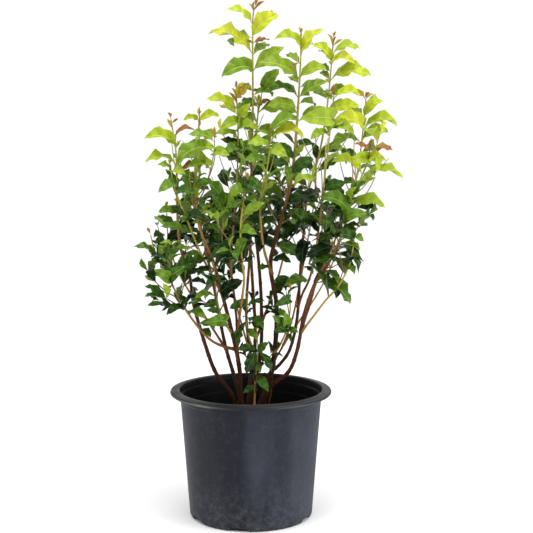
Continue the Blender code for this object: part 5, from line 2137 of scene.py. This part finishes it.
@dataclass
class Foliage:
    """The leaves and the green twigs of all the masses, each kind a piece of its own."""

    masses: list[Mass]
    lines: dict[str, ShootLine]
    size_shares: Span = (1.45, 1.08)
    full_length: float = 62 * MM
    young_length: float = 34 * MM
    bud_length: float = 11 * MM
    bud_sizes: Span = (0.7, 1.2)
    bud_angles: Span = (0.25, 0.5)
    bud_swing: float = 0.3
    twig_sides: int = 6
    twig_step: float = 5 * MM
    twig_relief: float = 0.2
    twig_grain: float = 500.0
    twig_ends: Triple = (1.5, 1.15, 0.5)
    twig_names: tuple[str, ...] = ("twig_green", "twig_tan", "twig_brown")
    twig_colours: tuple[Triple, ...] = palette("140 150 66, 132 104 62, 92 62 42")
    twig_heights: Span = (560 * MM, 420 * MM)
    twig_roughness: float = 0.55
    bronze_chances: Triple = (0.85, 0.35, 0.12)
    bronze_above: float = 620 * MM
    bronze_share: float = 0.6
    bronze_from_tip: float = 14 * MM
    light_height: float = 400 * MM
    height_light: float = 1.12
    tip_light: float = 0.30
    tip_reach: float = 45 * MM
    outer_light: float = 0.30
    outer_shares: Span = (1.2, 0.6)
    order_shade: float = 0.10
    right_shade: float = 0.7
    shade_below: float = 600 * MM
    light_spread: float = 0.32
    tint_steps: tuple[tuple[Tint, float], ...] = ((Tint.LIME, 1.02), (Tint.FRESH, 0.76),
                                                  (Tint.MID, 0.48), (Tint.DARK, 0.2))
    seed: int = 23

    def nodes(self) -> list[str]:
        """The names of the CAD's masses."""
        return [mass.shoot.name.replace("stem_", "foliage_").replace("bough_", "foliage_")
                for mass in self.masses]

    def tint_of(self, leaf: Leaf, dice: Dice) -> Tint:
        """Choose a leaf's tint by its height, its age and how far out it is in the crown. Young leaves near
        the tip are lighter by their own colour; height, the crown's outside, side twigs and the right side
        paint in light and shade.

        Args:
            leaf: The leaf.
            dice: The source of its variation.

        Returns:
            The tint.
        """
        if leaf.tint is not None:
            return leaf.tint
        middle = leaf.base + leaf.along * (leaf.length * 0.5)
        if leaf.from_tip < self.bronze_from_tip and leaf.length < self.young_length:
            chance = self.bronze_chances[leaf.order] * self.bronze_share
            if middle.z > self.bronze_above and dice.random() < chance:
                return Tint.BRONZE
        # Painted light and shade beside the leaf's age: lighter high up and on the crown's outside, darker
        # on side twigs and, low down, towards the right.
        farthest, halfway = self.outer_shares
        light = self.height_light * (middle.z - self.light_height) / self.light_height
        light += self.tip_light * math.exp(-leaf.from_tip / self.tip_reach)
        light += self.outer_light * (min(outline_share(middle), farthest) - halfway)
        if middle.z < self.shade_below:
            light -= self.order_shade * leaf.order + self.right_shade * middle.x
        light += dice.uniform(-self.light_spread, self.light_spread)
        return next((tint for tint, least in self.tint_steps if light > least), Tint.DEEP)

    def buds(self) -> list[Leaf]:
        """Grow the small leaves that are just opening at each leader's tip.

        Returns:
            The leaves.
        """
        result = []
        dice = Dice(self.seed + 1)
        for mass in self.masses:
            line = self.lines[mass.shoot.name]
            tip = line.at(line.length)
            heading = line.along(line.length)
            for side in range(2):
                turn = math.pi * side + math.pi / 2
                turn += dice.uniform(-self.bud_swing, self.bud_swing)
                along = leaning(heading, turn, dice.uniform(*self.bud_angles)).normalized()
                normal = (heading - along * heading.dot(along)).normalized()
                size = self.bud_length * dice.uniform(*self.bud_sizes)
                result.append(Leaf(tip - heading * MM, along, normal, size, 0, 0.0))
        return result

    def leaf_forms(self) -> bpy.types.Collection:
        """Build all forms of leaf, the grown ones first.

        Returns:
            The collection that holds them.
        """
        group = bpy.data.collections.new("leaf_forms")
        for number, form in enumerate(ALL_FORMS):
            group.objects.link(form.build(f"leaf_form_{number:02d}"))
        return group

    def leaf_tree(self, name: str, group: bpy.types.Collection, finish: LeafFinish) -> ShapeTree:
        """Build Geometry Nodes that set a leaf on each point and dress its parts.

        Args:
            name: The tree's name, which starts the names of the materials.
            group: The forms of leaf.
            finish: The tint's colours.

        Returns:
            The tree, ready to run.
        """
        tree = ShapeTree(name)
        leaves = tree.scattered(tree.start, tree.given("Leaf forms", "Collection", group),
                                tree.attribute("form", "INT"), tree.attribute("turn", "QUATERNION"),
                                tree.attribute("size"))
        mark = tree.math("ADD", tree.attribute("part"), tree.attribute("shade"))
        lows = [part + number - 0.5 for part in (Part.BLADE, Part.HOLLOW)
                for number in range(finish.shades())]
        lows += [Part.UNDERSIDE - 0.5, Part.RIB - 0.5]
        tree.end(leaves, mark, finish.make(name), lows)
        return tree

    def build_leaves(self, tint: Tint, leaves: list[Leaf], group: bpy.types.Collection,
                     dice: Dice) -> None:
        """Make all leaves of one tint as one piece.

        Args:
            tint: Their tint.
            leaves: The leaves.
            group: The forms of leaf.
            dice: Deals out the forms and shades.
        """
        name = "leaves_" + tint.name.lower()
        thing = new_piece(name, [leaf.base for leaf in leaves])
        turns = []
        sizes = []
        forms = []
        shades = []
        for leaf in leaves:
            turns += list(leaf.turn())
            if leaf.form is not None:
                sizes.append(leaf.length)
                forms.append(leaf.form)
            else:
                sizes.append(leaf.length * blend(leaf.length / self.full_length, *self.size_shares))
                young = leaf.length < self.young_length * 0.8
                forms.append(len(GROWN_FORMS) + dice.randrange(len(YOUNG_FORMS)) if young
                             else dice.randrange(len(GROWN_FORMS)))
            shades.append(float(dice.randrange(tint.value.shades())))
        set_values(thing.data, "turn", "QUATERNION", "POINT", turns)
        set_values(thing.data, "size", "FLOAT", "POINT", sizes)
        set_values(thing.data, "form", "INT", "POINT", forms)
        set_values(thing.data, "shade", "FLOAT", "POINT", shades)
        self.leaf_tree(name, group, tint.value).run(thing)
        drop_values(thing.data, ("size", "form", "shade", "turn", "part"))
        finish_mesh(thing, 62)
        declare(thing, self.nodes())

    def build_twigs(self) -> None:
        """Make the side twigs, greener and thinner towards the crown's top."""
        lines = []
        for twig in (twig for mass in self.masses for twig in mass.twigs[1:]):
            length = path_length(twig.points)
            count = max(4, round(length / self.twig_step))
            stops = [length * (1 - i / count) for i in range(count + 1)]
            points = [self.curve_point(twig.points, i / count) for i in range(count + 1)]
            girths = spaced(twig.radii[0], twig.radii[-1], count)
            for index, share in zip((0, 1, -1), self.twig_ends):
                girths[index] *= share
            kind = sum(twig.points[0].z <= height for height in self.twig_heights)
            lines.append(TubeLine(points, girths, stops, kind))
        finishes = [Surface(name, colour, self.twig_roughness).material
                    for name, colour in zip(self.twig_names, self.twig_colours)]
        tree = TubeTree("twig_relief", self.twig_sides, self.twig_relief, self.twig_grain, finishes)
        declare(tubes_from("green_twigs", lines, tree), self.nodes())

    def curve_point(self, points: list[Vector], share: float) -> Vector:
        """Find a point on the smooth line through a twig's points.

        Args:
            points: The twig's points.
            share: The share of the points passed.

        Returns:
            The point.
        """
        place = share * (len(points) - 1)
        index = min(int(place), len(points) - 2)
        before = points[max(index - 1, 0)]
        after = points[min(index + 2, len(points) - 1)]
        return curve_between(before, points[index], points[index + 1], after, place - index)

    def build(self) -> None:
        """Build the twigs, then the leaves tint by tint."""
        dice = Dice(self.seed)
        groups: dict[Tint, list[Leaf]] = {tint: [] for tint in Tint}
        for mass in self.masses:
            for leaf in mass.leaves:
                groups[self.tint_of(leaf, dice)].append(leaf)
        groups[Tint.BRONZE] += self.buds()
        self.build_twigs()
        forms = self.leaf_forms()
        for tint, leaves in groups.items():
            self.build_leaves(tint, leaves, forms, dice)
        clear_group(forms)


@dataclass
class Studio:
    """A plain pale floor, soft white light and the camera at the photograph's place."""

    floor_size: float = 14.0
    floor_drop: float = 0.4 * MM
    floor_colour: Triple = (0.985, 0.985, 0.985)
    sky: float = 1.02
    camera_pitch: float = 0.1218
    camera_yaw: float = 0.0129
    lens: float = 83.25

    def build(self) -> None:
        """Set up floor, light and camera."""
        half = self.floor_size / 2
        corners = [(-half, -half), (half, -half), (half, half), (-half, half)]
        floor = new_piece("floor", [(x, y, -self.floor_drop) for x, y in corners], [(0, 1, 2, 3)])
        bench = Surface("floor", self.floor_colour, 0.9)
        tone = bench.mapped(bench.noise(bench.place(), 3.0), 0.3, 0.7, 0.98, 1.0)
        shade = tuple(value * 0.98 for value in self.floor_colour)
        bench.tree.links.new(bench.mixed(tone, shade, self.floor_colour), bench.inputs["Base Color"])
        floor.data.materials.append(bench.material)
        world = bpy.data.worlds.new("soft_white")
        world.use_nodes = True
        bpy.context.scene.world = world
        background = world.node_tree.nodes["Background"]
        background.inputs["Color"].default_value = (1.0, 1.0, 1.0, 1.0)
        background.inputs["Strength"].default_value = self.sky
        self.add_light("overhead", (0.1, -0.4, 2.4), (0.0, 0.0, 0.5), 1.3, 24.0)
        self.add_light("right", (1.9, -0.9, 0.7), (0.0, 0.0, 0.25), 1.0, 18.0)
        self.add_light("front_left", (-1.6, -1.7, 1.6), (0.0, 0.0, 0.5), 1.2, 9.0)
        self.add_camera()
        bpy.context.scene.view_settings.view_transform = "Standard"

    def add_light(self, name: str, place: Triple, target: Triple, size: float,
                  power: float) -> None:
        """Add a soft square light.

        Args:
            name: Its name.
            place: Where it stands.
            target: What it points at.
            size: The length of its side.
            power: Its power in watts.
        """
        light = bpy.data.lights.new(name, "AREA")
        light.size = size
        light.energy = power
        lamp = bpy.data.objects.new(name, light)
        lamp.location = place
        lamp.rotation_euler = (Vector(target) - Vector(place)).to_track_quat("-Z", "Y").to_euler()
        bpy.context.scene.collection.objects.link(lamp)

    def add_camera(self) -> None:
        """Add the camera that sees the plant as the photograph does."""
        camera = bpy.data.cameras.new("camera")
        camera.lens = self.lens
        camera.sensor_width = 36.0
        eye = bpy.data.objects.new("camera", camera)
        eye.location = RULE.eye
        eye.rotation_euler = Euler((math.pi / 2 - self.camera_pitch, 0.0, -self.camera_yaw))
        bpy.context.scene.collection.objects.link(eye)
        bpy.context.scene.camera = eye


def limb_trees(nodes: dict[str, Thing]) -> list[BVHTree]:
    """Make search trees of the CAD's stems and boughs.

    Args:
        nodes: The frame's nodes.

    Returns:
        The trees, in the shoots' order.
    """
    meshes = [nodes[shoot.name].data for shoot in SHOOTS]
    return [tree_of([vertex.co for vertex in mesh.vertices],
                    [face.vertices for face in mesh.polygons]) for mesh in meshes]


def main() -> None:
    """Load the frame and build the plant in its pot."""
    logging.basicConfig(level=logging.INFO, format="%(name)s %(message)s")
    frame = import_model()
    Studio().build()
    pot = NurseryPot()
    pot.build()
    PottingMix(pot).build()
    lines = {shoot.name: ShootLine(shoot) for shoot in SHOOTS}
    WoodyLimbs(lines).build()
    masses = Crown(lines, limb_trees(frame["nodes"])).grow()
    LOG.info("%d twigs and %d leaves", sum(len(mass.twigs) for mass in masses),
             sum(len(mass.leaves) for mass in masses))
    Foliage(masses, lines).build()


if __name__ == "__main__":
    main()
